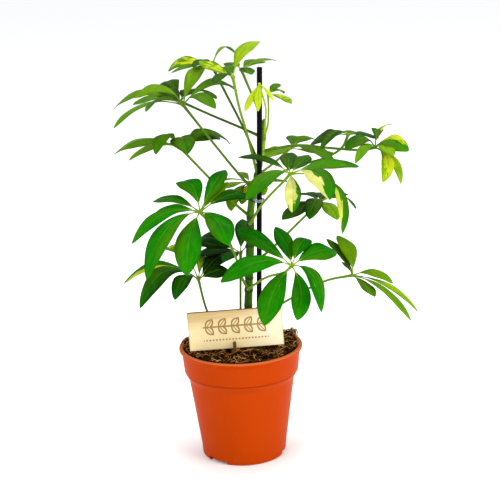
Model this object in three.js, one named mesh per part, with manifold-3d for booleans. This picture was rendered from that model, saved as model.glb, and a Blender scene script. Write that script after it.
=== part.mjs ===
// A potted umbrella plant: a terracotta-coloured plastic nursery pot full of coir compost, one main
// stem tied to a slim stake, nineteen palmate leaves, and a bare plywood sign on a half-lapped peg.
// Millimetres, +Z up, +X to the viewer's right, +Y away from the viewer. The origin is the centre of
// the pot's foot, on the surface it stands on.

import * as THREE from 'three';
import { mergeVertices } from 'three/addons/utils/BufferGeometryUtils.js';
import Module from 'manifold-3d';

const wasm = await Module();
wasm.setup();

// ---------------------------------------------------------------- driving dimensions, in mm
const GAP = 0.3; // air between pieces that touch

const POT = {
  height: 110.4,
  rimRadius: 60,
  lipHeight: 3,
  lipFillet: 3, // height of the slope under the lip
  collarTopRadius: 57.4,
  collarFootRadius: 55.6,
  collarFoot: 85.8, // height of the collar's lower edge
  bodyTopRadius: 51.2,
  bodyTop: 77.2,
  footRadius: 39,
  footCorner: 3, // height of the rounded corner at the foot
  footFlare: 2, // how much wider the corner ends than it starts
  lipCorner: 0.8,
  wall: 1.4,
  floor: 4.6, // height of the inside of the floor
  floorUnderside: 3,
  footRingWidth: 2.6,
  padRadius: 8, // flat moulding pad in the middle of the underside
  sides: 40,
};
const DRAIN = {
  count: 6,
  radius: 3.2,
  circle: 24, // radius of the circle the holes lie on
  notches: 3,
  firstNotch: 230, // degrees from +X, counted to +Y
  notchWidth: 21.5,
  notchHeight: 3.3,
  notchDepth: 12,
  stepWidth: 5.5, // the taller end of each notch
  stepHeight: 4.4,
  stepOutward: 3,
};
const SOIL = {
  edge: 109.3, // height at the wall
  crown: 3.5,
  heapBehind: 3.5,
  heapTurn: 0.5, // radians by which the heap lies left of straight behind
  lump: 1.3,
  lumpFade: 20, // radius inside which the lumps die out
  shoulder: 4, // from the edge down to the straight wall
  rings: [0.965, 0.8, 0.62, 0.42, 0.2], // shares of the inner radius
  holeGap: 0.4, // air round a faceted stem in its hole
};
const STAKE = { radius: 2.5, foot: [14.9, -4, 20], top: [26.8, -4, 379.3], sides: 12 };
const STEM = {
  sides: 8,
  steps: 15,
  // places on the centre line and the radius there, from the hidden foot to the top bud
  line: [
    [7, 5, 60, 4.2],
    [7.5, 5, 112, 4.2],
    [8.6, 5, 145, 4],
    [12.2, 5, 201, 4],
    [14.7, 5, 246, 3.6],
    [20.4, 5, 271, 3.2],
    [26.6, 5, 299, 2.7],
    [29.5, 3.5, 322, 2.1],
    [30, 3, 330, 1.2],
  ],
};
const TIE = { height: 254, thickness: 0.8, tall: 3, inner: 4.2 };
const SIGN = {
  centre: [-4, -26, 135],
  tilt: 2.5, // degrees, right end up
  width: 90,
  tall: 38,
  thickness: 3,
  pegAt: -2, // sideways from the middle of the plate
  pegDepth: 12,
  pegLength: 52,
  pegRise: 6.8, // of the peg's top above the plate's lower edge
  lap: 3.6, // depth of each half of the lap joint
};
const PETIOLE = {
  radius: 1.15,
  footRadius: 1.9,
  footFade: 9, // how fast the swollen foot dies out along the petiole
  headSwell: 0.5,
  headFade: 14,
  youngRadius: 0.8,
  youngFootRadius: 1,
  sides: 5,
  steps: 6,
};
const HUB = { radius: 2.7, youngRadius: 1.8, stalksStart: 1.3, youngStalksStart: 0.6 };
const BLADE = {
  thickness: 0.7,
  stalk: 0.14, // share of the length that is a bare stalk
  stalkWidth: 1.7,
  droopOfEdges: 0.05,
  stations: [0.2, 0.5, 0.8, 1], // of its sections, from the stalk to the tip
  overlap: 0.3, // share by which neighbours arch more and less, so that they pass over each other
};

// Each compound leaf: where its petiole leaves the stem (a height) or the soil (a place), the bends of
// the petiole, its hub, which way its upper side faces, how much its leaflets arch (a share of their
// length), and for every leaflet how far its tip lies from the hub, to the right, back and up, and its
// width. A leaflet may have its own arch, a sickle (the same share, but sideways), a bare stalk of its
// own, and a roll, the degrees by which it is turned about its midrib.
const LEAVES = [
  {
    name: 'leaf_top_left', from: 277, bends: [[12, 0, 322], [7, -4, 342]], hub: [2, -5, 371],
    face: [-0.2, -0.35, 1], arch: 0.1,
    tips: [
      [-31, 25, 13, 13, { arch: 0.05 }], [26, 36, 28, 18, { arch: 0.2 }],
      [-17, -36, 0, 14, { arch: 0.15 }], [-6, 44, 5, 14],
    ],
  },
  {
    name: 'leaf_top_left_back', from: 286, bends: [[10, 22, 319], [-8, 45, 354]], hub: [-18, 50, 375],
    face: [-0.2, -0.3, 1], arch: 0.15,
    tips: [
      [-44, 34, -7, 16, { roll: -20, arch: 0.2 }], [-38, -24, -2, 9], [-17, -30, 3, 13],
      [23, 44, 6, 6, { arch: 0.25 }], [-12, 50, -10, 14, { arch: 0.05 }],
    ],
  },
  {
    name: 'leaf_top_right', from: 320, bends: [[22, 13, 344], [17, 21, 356]], hub: [10, 30, 373],
    face: [0.1, -0.15, 1], arch: 0.15,
    tips: [
      [34, 45, 2, 8, { arch: 0.1 }], [9, -37, 0, 13], [14, 46, 4, 12, { arch: 0.05 }], [-14, 47, -2, 14],
      [24, 43, 2, 10, { arch: 0.05 }],
    ],
  },
  {
    name: 'leaf_upper_left', from: 262, bends: [[6, -1, 277], [-14, -8, 305]], hub: [-45, -5, 347],
    face: [-0.1, -0.4, 1], arch: 0.2,
    tips: [
      [19, 43, 31, 16, { arch: 0.15 }], [50, 42, 5, 18, { arch: 0.25 }],
      [31, -42, 2, 14, { arch: 0.2, sickle: 0.05 }], [-43, -14, 10, 17, { arch: 0.3 }],
      [-60, -50, -11, 16, { roll: 20, arch: 0.15 }], [-30, -58, 4, 14, { roll: 30, arch: 0.15 }],
      [-22, 54, 6, 18, { arch: 0.1 }],
    ],
  },
  {
    name: 'leaf_upper_left_back', from: 312, bends: [[9, 14, 320], [-21, 32, 331]], hub: [-50, 45, 343],
    face: [-0.15, -0.3, 1], arch: 0.15,
    tips: [
      [-67, 30, -10, 18], [-52, 50, 1, 17], [-17, 55, 8, 19], [14, 48, 3, 18], [34, 40, -5, 18],
      [-42, -38, 4, 15],
    ],
  },
  {
    name: 'leaf_middle_left', from: 236, bends: [[-3, 0, 253], [-24, -6, 278]], hub: [-50, -10, 309],
    face: [-0.1, -0.35, 1], arch: 0.2,
    tips: [
      [-64, 32, -11, 18], [-45, -28, -6, 10], [-19, -46, 2, 16, { roll: 10, arch: 0.3 }],
      [-50, 5, 1, 14, { arch: 0.1 }], [10, -47, 2, 23, { arch: 0.25 }], [36, 48, 0, 22, { roll: 20 }],
      [47, 29, -5, 18], [-8, 49, -6, 18, { arch: 0.05 }],
    ],
  },
  {
    name: 'leaf_front_left', from: 164, bends: [[4, -5, 178], [-5, -25, 214]], hub: [-32, -48, 255],
    face: [0.1, -0.5, 1], arch: 0.2,
    tips: [
      [-20, 41, 19, 23, { sickle: -0.05 }], [24, 50, 28, 15], [26, 33, 20, 10, { arch: 0.05 }],
      [51, 35, -1, 18, { arch: 0.25 }], [25, -46, -20, 24, { arch: 0.15, sickle: 0.05 }],
      [-12, -55, -44, 24, { arch: 0.1, sickle: -0.05 }],
      [-48, -52, -47, 19, { arch: 0.25, sickle: -0.05 }],
      [-61, -30, -20, 14, { arch: 0.2, sickle: -0.05 }], [-46, 39, 2, 15, { arch: 0.15 }],
      [-46, 10, -7, 17, { arch: 0.15 }],
    ],
  },
  {
    name: 'leaf_back_middle', from: 226, bends: [[16, 24, 246]], hub: [15, 45, 261],
    face: [0, 0.1, 1], arch: 0.1,
    tips: [
      [-29, -30, 1, 18], [-19, -38, -19, 14, { arch: 0.1, sickle: -0.1 }], [-9, -33, -14, 12],
      [-11, 38, 3, 10], [12, -38, -5, 17], [28, 42, -4, 20], [46, 14, -6, 20], [-46, 16, -8, 17],
    ],
  },
  {
    name: 'leaf_front_right', from: 229, bends: [[14, -6, 233], [24, -14, 251], [46, -44, 281]],
    hub: [51, -50, 288], face: [0.1, -0.35, 1], arch: 0.15,
    tips: [
      [-41, -48, -12, 17, { arch: 0.2 }], [-47, 46, 8, 13, { arch: 0.1 }],
      [4, 49, 10, 18, { arch: 0.05, sickle: 0.05 }], [19, 45, 8, 15, { arch: 0.05 }], [65, 34, -2, 19],
      [32, -50, -14, 24, { arch: 0.2, sickle: 0.1 }], [-1, -54, -23, 15, { arch: 0.1 }],
      [44, -30, -50, 14, { arch: 0.25, sickle: 0.2, bare: 0.4 }],
    ],
  },
  {
    name: 'leaf_right_back', from: 190, bends: [[26, 6, 198], [66, 12, 233]], hub: [81, 15, 246],
    face: [0.1, -0.25, 1], arch: 0.15,
    tips: [
      [13, -46, -7, 16], [-13, -48, -5, 17, { arch: 0.2 }], [-38, -46, -5, 18], [-16, 46, -3, 17],
      [7, 51, -3, 15, { arch: 0.05 }], [28, 50, -5, 17], [37, 33, -16, 13],
    ],
  },
  {
    name: 'leaf_far_right', from: 299, bends: [[60, 3, 304], [91, 4, 300], [122, 5, 297]],
    hub: [133, 5, 299], face: [0.1, -0.35, 1], arch: 0.2,
    tips: [
      [29, -24, 0, 20, { roll: 20 }], [13, -36, -2, 14, { arch: 0.15 }],
      [3, -40, -25, 12, { sickle: 0.15 }], [21, -28, -30, 9, { sickle: 0.1 }],
      [21, 44, 14, 9, { roll: -35 }], [-30, -22, 3, 17, { arch: 0.3 }], [-22, -42, -6, 10, { arch: 0.2 }],
      [6, 42, 5, 12],
    ],
  },
  {
    name: 'leaf_right_shoulder', from: 268, bends: [[60, 24, 280], [89, 31, 286], [104, 31, 295]],
    hub: [110, 28, 308], face: [0, -0.3, 1], arch: 0.15,
    tips: [
      [-35, 35, -15, 20, { roll: -20 }], [-29, -40, -6, 10, { arch: 0.2 }],
      [-4, 46, -6, 18, { arch: 0.05 }], [18, 46, -9, 18, { arch: 0.05 }],
      [32, 27, -9, 17, { arch: 0.05 }],
    ],
  },
  {
    name: 'leaf_back_right', from: 276, bends: [[40, 34, 283]], hub: [56, 60, 291],
    face: [0.1, -0.3, 1], arch: 0.1,
    tips: [
      [8, 42, 4, 20], [24, 39, 1, 14], [-26, 44, -9, 11, { arch: 0 }], [-27, -40, 0, 16, { arch: 0.05 }],
      [40, -50, -7, 15], [44, 30, -12, 15, { arch: 0 }], [-30, 8, -5, 14, { arch: 0.05 }],
    ],
  },
  {
    name: 'leaf_front_low', from: 163, bends: [[10, -6, 168], [26, -22, 183], [44, -46, 195]],
    hub: [50, -55, 203], face: [0, -0.7, 1], arch: 0.15,
    tips: [
      [-65, -35, -3, 21, { arch: 0.2 }], [-49, 48, 25, 18, { arch: 0.1 }],
      [-13, 46, 26, 16, { arch: 0, sickle: -0.05 }], [17, 39, 15, 17], [43, 30, 4, 23, { arch: 0.15 }],
      [24, -42, -32, 13, { arch: 0.3, sickle: 0.1 }], [2, -44, -38, 18, { arch: 0.05, sickle: 0.1 }],
      [-27, -47, -41, 23, { arch: 0.1, sickle: -0.05 }],
    ],
  },
  {
    name: 'leaf_low_right', from: 129, bends: [[41, 0, 150], [83, -6, 173]], hub: [109, -10, 179],
    face: [0.35, -0.45, 1], arch: 0.1,
    tips: [
      [-11, 38, 30, 18, { sickle: -0.05 }], [-22, 34, 28, 12, { sickle: -0.05 }],
      [-7, 42, 2, 7, { arch: 0.05 }], [38, -8, -7, 13, { arch: 0.2 }], [50, -48, -32, 9],
      [60, -22, -32, 8, { arch: 0.15 }], [18, -33, -12, 13, { arch: 0.05 }],
    ],
  },
  {
    name: 'leaf_low_left', foot: [-22, -12, 90], bends: [[-25, -10, 128], [-33, -8, 155]],
    hub: [-38, -5, 179], face: [0, -0.3, 1], arch: 0.2,
    tips: [
      [-54, -39, -15, 22, { arch: 0.35, sickle: -0.05 }], [-21, -42, -7, 17, { sickle: -0.05 }],
      [-73, 10, -5, 18, { arch: 0.25 }], [-33, 42, 20, 18, { arch: 0.3 }], [3, 46, 15, 9, { arch: 0.1 }],
      [30, 41, 18, 24, { arch: 0.1 }], [28, 14, 5, 18, { roll: 20, arch: 0.15 }],
    ],
  },
  {
    name: 'leaf_centre_back', foot: [0, 14, 90], bends: [[1, 14, 140]], hub: [3, 15, 198],
    face: [0, -0.2, 1], arch: 0.15,
    tips: [
      [-16, -37, 2, 15], [-42, 40, 4, 26, { roll: -25, arch: 0.2 }], [3, 41, 24, 14, { arch: 0.1 }],
      [27, 37, -3, 15], [-44, 8, -2, 20],
    ],
  },
  {
    name: 'leaf_young_tip', young: true, from: 315, bends: [[30, -2, 325], [31.5, -6, 340]],
    hub: [26, -12, 365], face: [0, -0.3, 1], arch: 0.1,
    tips: [
      [-14, -19, -22, 7], [-2, -21, -22, 7], [12, -19, -13, 4],
    ],
  },
  {
    name: 'leaf_young_side', young: true, from: 311, bends: [[32.5, 5, 321], [34, 3, 336]],
    hub: [34, 0, 353], face: [0.1, -0.2, 1], arch: 0.15,
    tips: [
      [21, -20, -6, 11], [15, 19, -2, 10], [11, 21, 7, 9],
    ],
  },
];

// Colour, roughness and metalness of each piece.
const FINISH = {
  pot: [0xd5520a, 0.42],
  soil: [0x3c2312, 0.95],
  stem: [0x4f7d1c, 0.5],
  stake: [0x101214, 0.45],
  tie: [0xbfd0d8, 0.3],
  plywood: [0xf2dba8, 0.6],
  leaf: [0x2c8a12, 0.3],
  leafLight: [0x78b01c, 0.34],
  leafDark: [0x1d5a14, 0.32],
  leafYoung: [0xc9d916, 0.38],
};
const LEAF_FINISH = {
  leaf_top_left: 'leafLight',
  leaf_back_middle: 'leafLight',
  leaf_low_left: 'leafDark',
  leaf_centre_back: 'leafDark',
  leaf_right_back: 'leafDark',
  leaf_young_tip: 'leafYoung',
};

// ---------------------------------------------------------------- solids
const vector = (place) => new THREE.Vector3(place[0], place[1], place[2]);

// A closed body through rings of equally many points. The second half of each ring is split along the
// other diagonal, so that the two faces of a thin blade stay parallel.
function loft(rings) {
  const count = rings[0].length;
  const positions = rings.flat().flatMap((p) => [p.x, p.y, p.z]);
  const index = [];
  for (let ring = 0; ring + 1 < rings.length; ring += 1) {
    for (let k = 0; k < count; k += 1) {
      const a = ring * count + k;
      const b = ring * count + ((k + 1) % count);
      const c = b + count;
      const d = a + count;
      if (k < count / 2) index.push(a, b, c, a, c, d);
      else index.push(a, b, d, b, c, d);
    }
  }
  const last = (rings.length - 1) * count;
  for (let k = 2; k < count; k += 1) {
    const next = (k + 1) % count;
    index.push(1, next, k, last + 1, last + k, last + next);
  }
  const geometry = new THREE.BufferGeometry();
  geometry.setAttribute('position', new THREE.Float32BufferAttribute(positions, 3));
  geometry.setIndex(index);
  return signedVolume(geometry) < 0 ? turnedInsideOut(geometry) : geometry;
}

function signedVolume(geometry) {
  const place = geometry.attributes.position;
  const corner = [new THREE.Vector3(), new THREE.Vector3(), new THREE.Vector3()];
  let six = 0;
  for (let i = 0; i < geometry.index.count; i += 3) {
    corner.forEach((v, k) => v.fromBufferAttribute(place, geometry.index.getX(i + k)));
    six += corner[0].dot(corner[1].clone().cross(corner[2]));
  }
  return six / 6;
}

function turnedInsideOut(geometry) {
  const index = Array.from(geometry.index.array);
  for (let i = 0; i < index.length; i += 3) [index[i + 1], index[i + 2]] = [index[i + 2], index[i + 1]];
  geometry.setIndex(index);
  return geometry;
}

// Welds a geometry's vertices by position and drops the triangles that have no area.
function welded(geometry) {
  const bare = geometry.clone();
  bare.deleteAttribute('normal');
  bare.deleteAttribute('uv');
  const merged = mergeVertices(bare, 1e-3);
  const index = [];
  for (let i = 0; i < merged.index.count; i += 3) {
    const [a, b, c] = [0, 1, 2].map((k) => merged.index.getX(i + k));
    if (a !== b && b !== c && c !== a) index.push(a, b, c);
  }
  merged.setIndex(index);
  return merged;
}

function toSolid(geometry) {
  const clean = welded(geometry);
  return new wasm.Manifold(new wasm.Mesh({
    numProp: 3,
    vertProperties: Float32Array.from(clean.attributes.position.array),
    triVerts: Uint32Array.from(clean.index.array),
  }));
}

function toGeometry(solid) {
  const mesh = solid.getMesh();
  const geometry = new THREE.BufferGeometry();
  geometry.setAttribute('position', new THREE.BufferAttribute(mesh.vertProperties, 3));
  geometry.setIndex(new THREE.BufferAttribute(mesh.triVerts, 1));
  return geometry;
}

// Rings of a round tube along a curve; radiusAt gives the radius at 0..1 of its length.
function tubeRings(curve, radiusAt, sides, steps) {
  const frames = curve.computeFrenetFrames(steps, false);
  const rings = [];
  for (let i = 0; i <= steps; i += 1) {
    const centre = curve.getPointAt(i / steps);
    const radius = radiusAt(i / steps);
    rings.push(Array.from({ length: sides }, (_, k) => {
      const turn = (2 * Math.PI * k) / sides;
      return centre.clone()
        .addScaledVector(frames.normals[i], radius * Math.cos(turn))
        .addScaledVector(frames.binormals[i], radius * Math.sin(turn));
    }));
  }
  return rings;
}

function box(width, depth, height, x, y, z) {
  return new THREE.BoxGeometry(width, depth, height).translate(x, y, z);
}

// An upright round post between two heights, for holes.
function post(radius, low, high, x, y, sides) {
  return new THREE.CylinderGeometry(radius, radius, high - low, sides)
    .rotateX(Math.PI / 2)
    .translate(x, y, (low + high) / 2);
}

// ---------------------------------------------------------------- stem and stake
const stemCurve = new THREE.CatmullRomCurve3(STEM.line.map(vector), false, 'centripetal');

function stemPlaceAt(height) {
  let low = 0;
  let high = 1;
  for (let i = 0; i < 30; i += 1) {
    const middle = (low + high) / 2;
    if (stemCurve.getPointAt(middle).z < height) low = middle;
    else high = middle;
  }
  return stemCurve.getPointAt(low);
}

function stemRadiusAt(height) {
  const line = STEM.line;
  const above = line.findIndex((place) => place[2] > height);
  if (above < 0) return line[line.length - 1][3];
  if (above === 0) return line[0][3];
  const [low, high] = [line[above - 1], line[above]];
  return low[3] + ((high[3] - low[3]) * (height - low[2])) / (high[2] - low[2]);
}

function stemGeometry(extra = 0) {
  const radiusAt = (t) => stemRadiusAt(stemCurve.getPointAt(t).z) + extra;
  return loft(tubeRings(stemCurve, radiusAt, STEM.sides, STEM.steps));
}

function stakeGeometry(extra = 0) {
  const [foot, top] = [vector(STAKE.foot), vector(STAKE.top)];
  const axis = top.clone().sub(foot);
  foot.addScaledVector(axis.clone().normalize(), -extra);
  return loft(tubeRings(new THREE.LineCurve3(foot, top), () => STAKE.radius + extra, STAKE.sides, 1));
}

// A flat loop round the stem and the stake.
function tieGeometry() {
  const stem = stemPlaceAt(TIE.height);
  const along = (TIE.height - STAKE.foot[2]) / (STAKE.top[2] - STAKE.foot[2]);
  const stake = vector(STAKE.foot).lerp(vector(STAKE.top), along);
  const span = Math.hypot(stake.x - stem.x, stake.y - stem.y);
  const outline = (path, radius) => {
    path.absarc(0, 0, radius, Math.PI / 2, (3 * Math.PI) / 2, false);
    path.absarc(span, 0, radius, -Math.PI / 2, Math.PI / 2, false);
    path.closePath();
    return path;
  };
  const shape = outline(new THREE.Shape(), TIE.inner + TIE.thickness);
  shape.holes.push(outline(new THREE.Path(), TIE.inner));
  const loop = new THREE.ExtrudeGeometry(shape, { depth: TIE.tall, bevelEnabled: false, curveSegments: 4 });
  loop.rotateZ(Math.atan2(stake.y - stem.y, stake.x - stem.x));
  return loop.translate(stem.x, stem.y, TIE.height - TIE.tall / 2);
}

// ---------------------------------------------------------------- pot and soil
function potGeometry() {
  const p = POT;
  const corner = Array.from({ length: 3 }, (_, k) => {
    const turn = (Math.PI / 2) * (k / 2);
    return [p.footRadius + p.footFlare * Math.sin(turn), p.footCorner * (1 - Math.cos(turn))];
  });
  const profile = [
    [0, 0],
    [p.padRadius, 0],
    [p.padRadius, p.floorUnderside],
    [p.footRadius - p.footRingWidth, p.floorUnderside],
    [p.footRadius - p.footRingWidth, 0],
    ...corner,
    [p.bodyTopRadius, p.bodyTop],
    [p.collarFootRadius, p.collarFoot],
    [p.collarTopRadius, p.height - p.lipHeight - p.lipFillet],
    [p.rimRadius, p.height - p.lipHeight],
    [p.rimRadius, p.height - p.lipCorner],
    [p.rimRadius - p.lipCorner, p.height],
    [insideRadius(p.height), p.height],
    [insideRadius(p.collarFoot), p.collarFoot],
    [insideRadius(p.bodyTop), p.bodyTop],
    [insideRadius(p.floor), p.floor],
    [0, p.floor],
  ].map(([r, z]) => new THREE.Vector2(r, z));
  let pot = toSolid(new THREE.LatheGeometry(profile, p.sides).rotateX(Math.PI / 2));
  for (let k = 0; k < DRAIN.count; k += 1) {
    const turn = (2 * Math.PI * k) / DRAIN.count;
    const [x, y] = [DRAIN.circle * Math.cos(turn), DRAIN.circle * Math.sin(turn)];
    pot = pot.subtract(toSolid(post(DRAIN.radius, 0, p.floor + 1, x, y, 12)));
  }
  for (let k = 0; k < DRAIN.notches; k += 1) {
    const turn = THREE.MathUtils.degToRad(DRAIN.firstNotch + (360 / DRAIN.notches) * k);
    const reach = p.footRadius;
    const { notchDepth, notchWidth, notchHeight, stepWidth, stepHeight, stepOutward } = DRAIN;
    const notch = box(notchDepth, notchWidth, 2 * notchHeight, reach, 0, 0).rotateZ(turn);
    const stepAt = (stepWidth - notchWidth) / 2;
    const step = box(notchDepth, stepWidth, 2 * stepHeight, reach + stepOutward, stepAt, 0).rotateZ(turn);
    pot = pot.subtract(toSolid(notch)).subtract(toSolid(step));
  }
  return toGeometry(pot);
}

// Radius of the inside of the wall at a height.
function insideRadius(z) {
  const p = POT;
  const stations = [
    [p.footCorner, p.footRadius + p.footFlare],
    [p.bodyTop, p.bodyTopRadius],
    [p.collarFoot, p.collarFootRadius],
    [p.height - p.lipHeight, p.collarTopRadius],
    [p.height, p.collarTopRadius],
  ];
  const above = Math.max(1, stations.findIndex(([height]) => height >= z));
  const [[z0, r0], [z1, r1]] = [stations[above - 1], stations[above]];
  return r0 + ((r1 - r0) * (z - z0)) / (z1 - z0) - p.wall;
}

// Height of the compost: a low crown, a heap behind the stem, and lumps that die out in the middle.
function soilHeight(radius, turn) {
  const reach = radius / insideRadius(SOIL.edge);
  const crown = SOIL.crown * (1 - reach * reach);
  const heap = SOIL.heapBehind * Math.max(0, Math.sin(turn - SOIL.heapTurn)) * reach;
  const lumps = Math.sin(3 * turn + radius / 6) + Math.sin(7 * turn - radius / 4) + Math.sin(11 * turn + 1);
  return SOIL.edge + crown + heap + (SOIL.lump / 2) * lumps * Math.min(1, radius / SOIL.lumpFade);
}

function soilGeometry() {
  const ring = (radius, heightAt) => Array.from({ length: POT.sides }, (_, k) => {
    const turn = (2 * Math.PI * (k + 0.5)) / POT.sides;
    return new THREE.Vector3(radius * Math.cos(turn), radius * Math.sin(turn), heightAt(turn));
  });
  const flat = (radius, z) => ring(radius, () => z);
  // The rings' corners lie between the pot's, so the radius is cut to the middle of the wall's flats.
  const inFlats = Math.cos(Math.PI / POT.sides);
  const wallRadius = (z) => insideRadius(z) * inFlats - GAP;
  const low = POT.floor + GAP;
  const top = SOIL.edge;
  const shoulder = top - SOIL.shoulder;
  let soil = toSolid(loft([
    flat(wallRadius(low), low),
    flat(wallRadius(POT.bodyTop), POT.bodyTop),
    flat(wallRadius(POT.collarFoot), POT.collarFoot),
    flat(wallRadius(shoulder), shoulder),
    ...SOIL.rings.map((reach) => {
      const radius = reach * insideRadius(top);
      return ring(radius, (turn) => soilHeight(radius, turn));
    }),
  ]));
  const shoots = LEAVES.filter((leaf) => leaf.foot);
  const holes = [
    stemGeometry(SOIL.holeGap),
    stakeGeometry(SOIL.holeGap),
    pegGeometry(GAP),
    ...shoots.map((leaf) => petioleGeometry(leaf, SOIL.holeGap)),
  ];
  holes.forEach((hole) => {
    soil = soil.subtract(toSolid(hole));
  });
  return toGeometry(soil);
}

// ---------------------------------------------------------------- sign
function placedAsSign(geometry) {
  return geometry.rotateY(-THREE.MathUtils.degToRad(SIGN.tilt)).translate(...SIGN.centre);
}

function plateGeometry() {
  const s = SIGN;
  const plate = toSolid(box(s.width, s.thickness, s.tall, 0, 0, 0));
  const slot = box(s.thickness + 2 * GAP, s.thickness + 2, 2 * s.lap, s.pegAt, 0, -s.tall / 2);
  return placedAsSign(toGeometry(plate.subtract(toSolid(slot))));
}

function pegGeometry(extra = 0) {
  const s = SIGN;
  const top = -s.tall / 2 + s.pegRise;
  const [thick, deep, long] = [s.thickness, s.pegDepth, s.pegLength].map((side) => side + 2 * extra);
  const peg = toSolid(box(thick, deep, long, s.pegAt, 0, top - s.pegLength / 2));
  const notchFoot = -s.tall / 2 + s.lap - GAP;
  const notch = box(s.thickness + 2, s.thickness + 2 * GAP, 2 * (top - notchFoot), s.pegAt, 0, top);
  return placedAsSign(toGeometry(extra ? peg : peg.subtract(toSolid(notch))));
}

// ---------------------------------------------------------------- leaves
function petioleGeometry(leaf, extra = 0) {
  const start = leaf.foot ? vector(leaf.foot) : stemPlaceAt(leaf.from);
  const places = [start, ...leaf.bends.map(vector), vector(leaf.hub)];
  const curve = new THREE.CatmullRomCurve3(places, false, 'centripetal');
  const radius = leaf.young ? PETIOLE.youngRadius : PETIOLE.radius;
  const footRadius = leaf.young ? PETIOLE.youngFootRadius : PETIOLE.footRadius;
  const radiusAt = (t) => {
    const foot = (footRadius - radius) * Math.exp(-PETIOLE.footFade * t);
    const head = PETIOLE.headSwell * Math.exp(-PETIOLE.headFade * (1 - t));
    return radius + foot + head + extra;
  };
  return loft(tubeRings(curve, radiusAt, PETIOLE.sides, PETIOLE.steps));
}

// Width of a blade, as a share of its greatest, at 0..1 from its stalk to its blunt tip.
function bladeShare(s) {
  return Math.max(0.05, Math.sin(Math.PI * Math.pow(s, 1.3)) ** 0.68);
}

// One leaflet: a narrow stalk, then a thin blade that arches from the hub to its tip.
function leafletGeometry(leaf, tip, rank) {
  const [dx, dy, dz, width, own = {}] = tip;
  const hub = vector(leaf.hub);
  const reach = new THREE.Vector3(dx, dy, dz);
  const length = reach.length();
  const forward = reach.clone().normalize();
  const up = vector(leaf.face).projectOnPlane(forward).normalize()
    .applyAxisAngle(forward, THREE.MathUtils.degToRad(own.roll ?? 0));
  const side = up.clone().cross(forward);
  const arch = own.arch ?? leaf.arch * (rank % 2 ? 1 + BLADE.overlap : 1 - BLADE.overlap);
  const bend = up.clone().multiplyScalar(arch * length).addScaledVector(side, (own.sickle ?? 0) * length);
  const centreAt = (t) => hub.clone().addScaledVector(reach, t).addScaledVector(bend, 4 * t * (1 - t));
  const ringAt = (t, across) => {
    const slope = centreAt(Math.min(1, t + 0.01)).sub(centreAt(Math.max(0, t - 0.01)));
    const normal = slope.clone().cross(side).normalize();
    if (normal.dot(up) < 0) normal.negate();
    const centre = centreAt(t);
    const edge = (sign) => centre.clone()
      .addScaledVector(side, (sign * across) / 2)
      .addScaledVector(normal, -BLADE.droopOfEdges * across);
    const upper = [edge(-1), centre.clone(), edge(1)];
    const lower = upper.map((p) => p.clone().addScaledVector(normal, -BLADE.thickness)).reverse();
    return [...upper, ...lower];
  };
  const start = own.bare ?? BLADE.stalk;
  const blade = BLADE.stations.map((s) => ringAt(start + s * (1 - start), width * bladeShare(s)));
  const stalksStart = (leaf.young ? HUB.youngStalksStart : HUB.stalksStart) / length;
  return loft([ringAt(stalksStart, BLADE.stalkWidth), ringAt(start, BLADE.stalkWidth), ...blade]);
}

function leafGeometry(leaf) {
  const knobRadius = leaf.young ? HUB.youngRadius : HUB.radius;
  const knob = new THREE.IcosahedronGeometry(knobRadius, 0).translate(...leaf.hub);
  const roundTheHub = [...leaf.tips].sort((a, b) => Math.atan2(a[1], a[0]) - Math.atan2(b[1], b[0]));
  const leaflets = roundTheHub.map((tip, rank) => leafletGeometry(leaf, tip, rank));
  let solid = wasm.Manifold.union([knob, petioleGeometry(leaf), ...leaflets].map(toSolid));
  if (!leaf.foot) solid = solid.subtract(toSolid(stemGeometry(GAP)));
  return toGeometry(solid);
}

// ---------------------------------------------------------------- the plant
function mesh(name, geometry, [colour, roughness]) {
  const material = new THREE.MeshStandardMaterial({ color: colour, roughness, metalness: 0 });
  const piece = new THREE.Mesh(geometry, material);
  piece.name = name;
  return piece;
}

const plant = new THREE.Group();
plant.add(
  mesh('pot', potGeometry(), FINISH.pot),
  mesh('soil', soilGeometry(), FINISH.soil),
  mesh('main_stem', stemGeometry(), FINISH.stem),
  mesh('stake', stakeGeometry(), FINISH.stake),
  mesh('tie', tieGeometry(), FINISH.tie),
  mesh('sign_plate', plateGeometry(), FINISH.plywood),
  mesh('sign_peg', pegGeometry(), FINISH.plywood),
  ...LEAVES.map((leaf) => mesh(leaf.name, leafGeometry(leaf), FINISH[LEAF_FINISH[leaf.name] ?? 'leaf'])),
);

export default plant;
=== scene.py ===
# A potted umbrella plant, dressed around its fixed frame. Metres, +Z up, the front towards -Y.
import bpy
import math
import numpy as np
from mathutils import Matrix, Vector


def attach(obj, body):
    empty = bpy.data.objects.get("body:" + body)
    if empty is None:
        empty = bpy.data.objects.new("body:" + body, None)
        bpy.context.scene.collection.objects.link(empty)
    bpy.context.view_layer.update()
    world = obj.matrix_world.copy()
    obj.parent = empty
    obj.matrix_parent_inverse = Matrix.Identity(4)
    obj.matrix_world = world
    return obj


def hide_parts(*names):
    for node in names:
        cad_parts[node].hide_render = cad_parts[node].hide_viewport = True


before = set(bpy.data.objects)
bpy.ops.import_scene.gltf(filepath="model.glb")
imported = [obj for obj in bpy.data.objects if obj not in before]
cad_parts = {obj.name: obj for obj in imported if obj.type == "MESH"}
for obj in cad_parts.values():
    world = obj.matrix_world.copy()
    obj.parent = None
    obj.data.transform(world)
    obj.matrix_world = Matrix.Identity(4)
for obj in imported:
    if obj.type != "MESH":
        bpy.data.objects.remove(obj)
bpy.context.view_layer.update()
mm = 0.001
print("frame loaded:", len(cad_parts), "nodes")


cameraView = {
    "place": (12.26, -1225.0, 532.5),  # mm
    "pitch": 14.98,  # degrees below level
    "roll": 1.99,  # degrees, the right side of the plant up
    "focal": 1327.6,  # pixels
    "picture": 500,  # pixels, both ways
    "sensor": 36.0,
}


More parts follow.
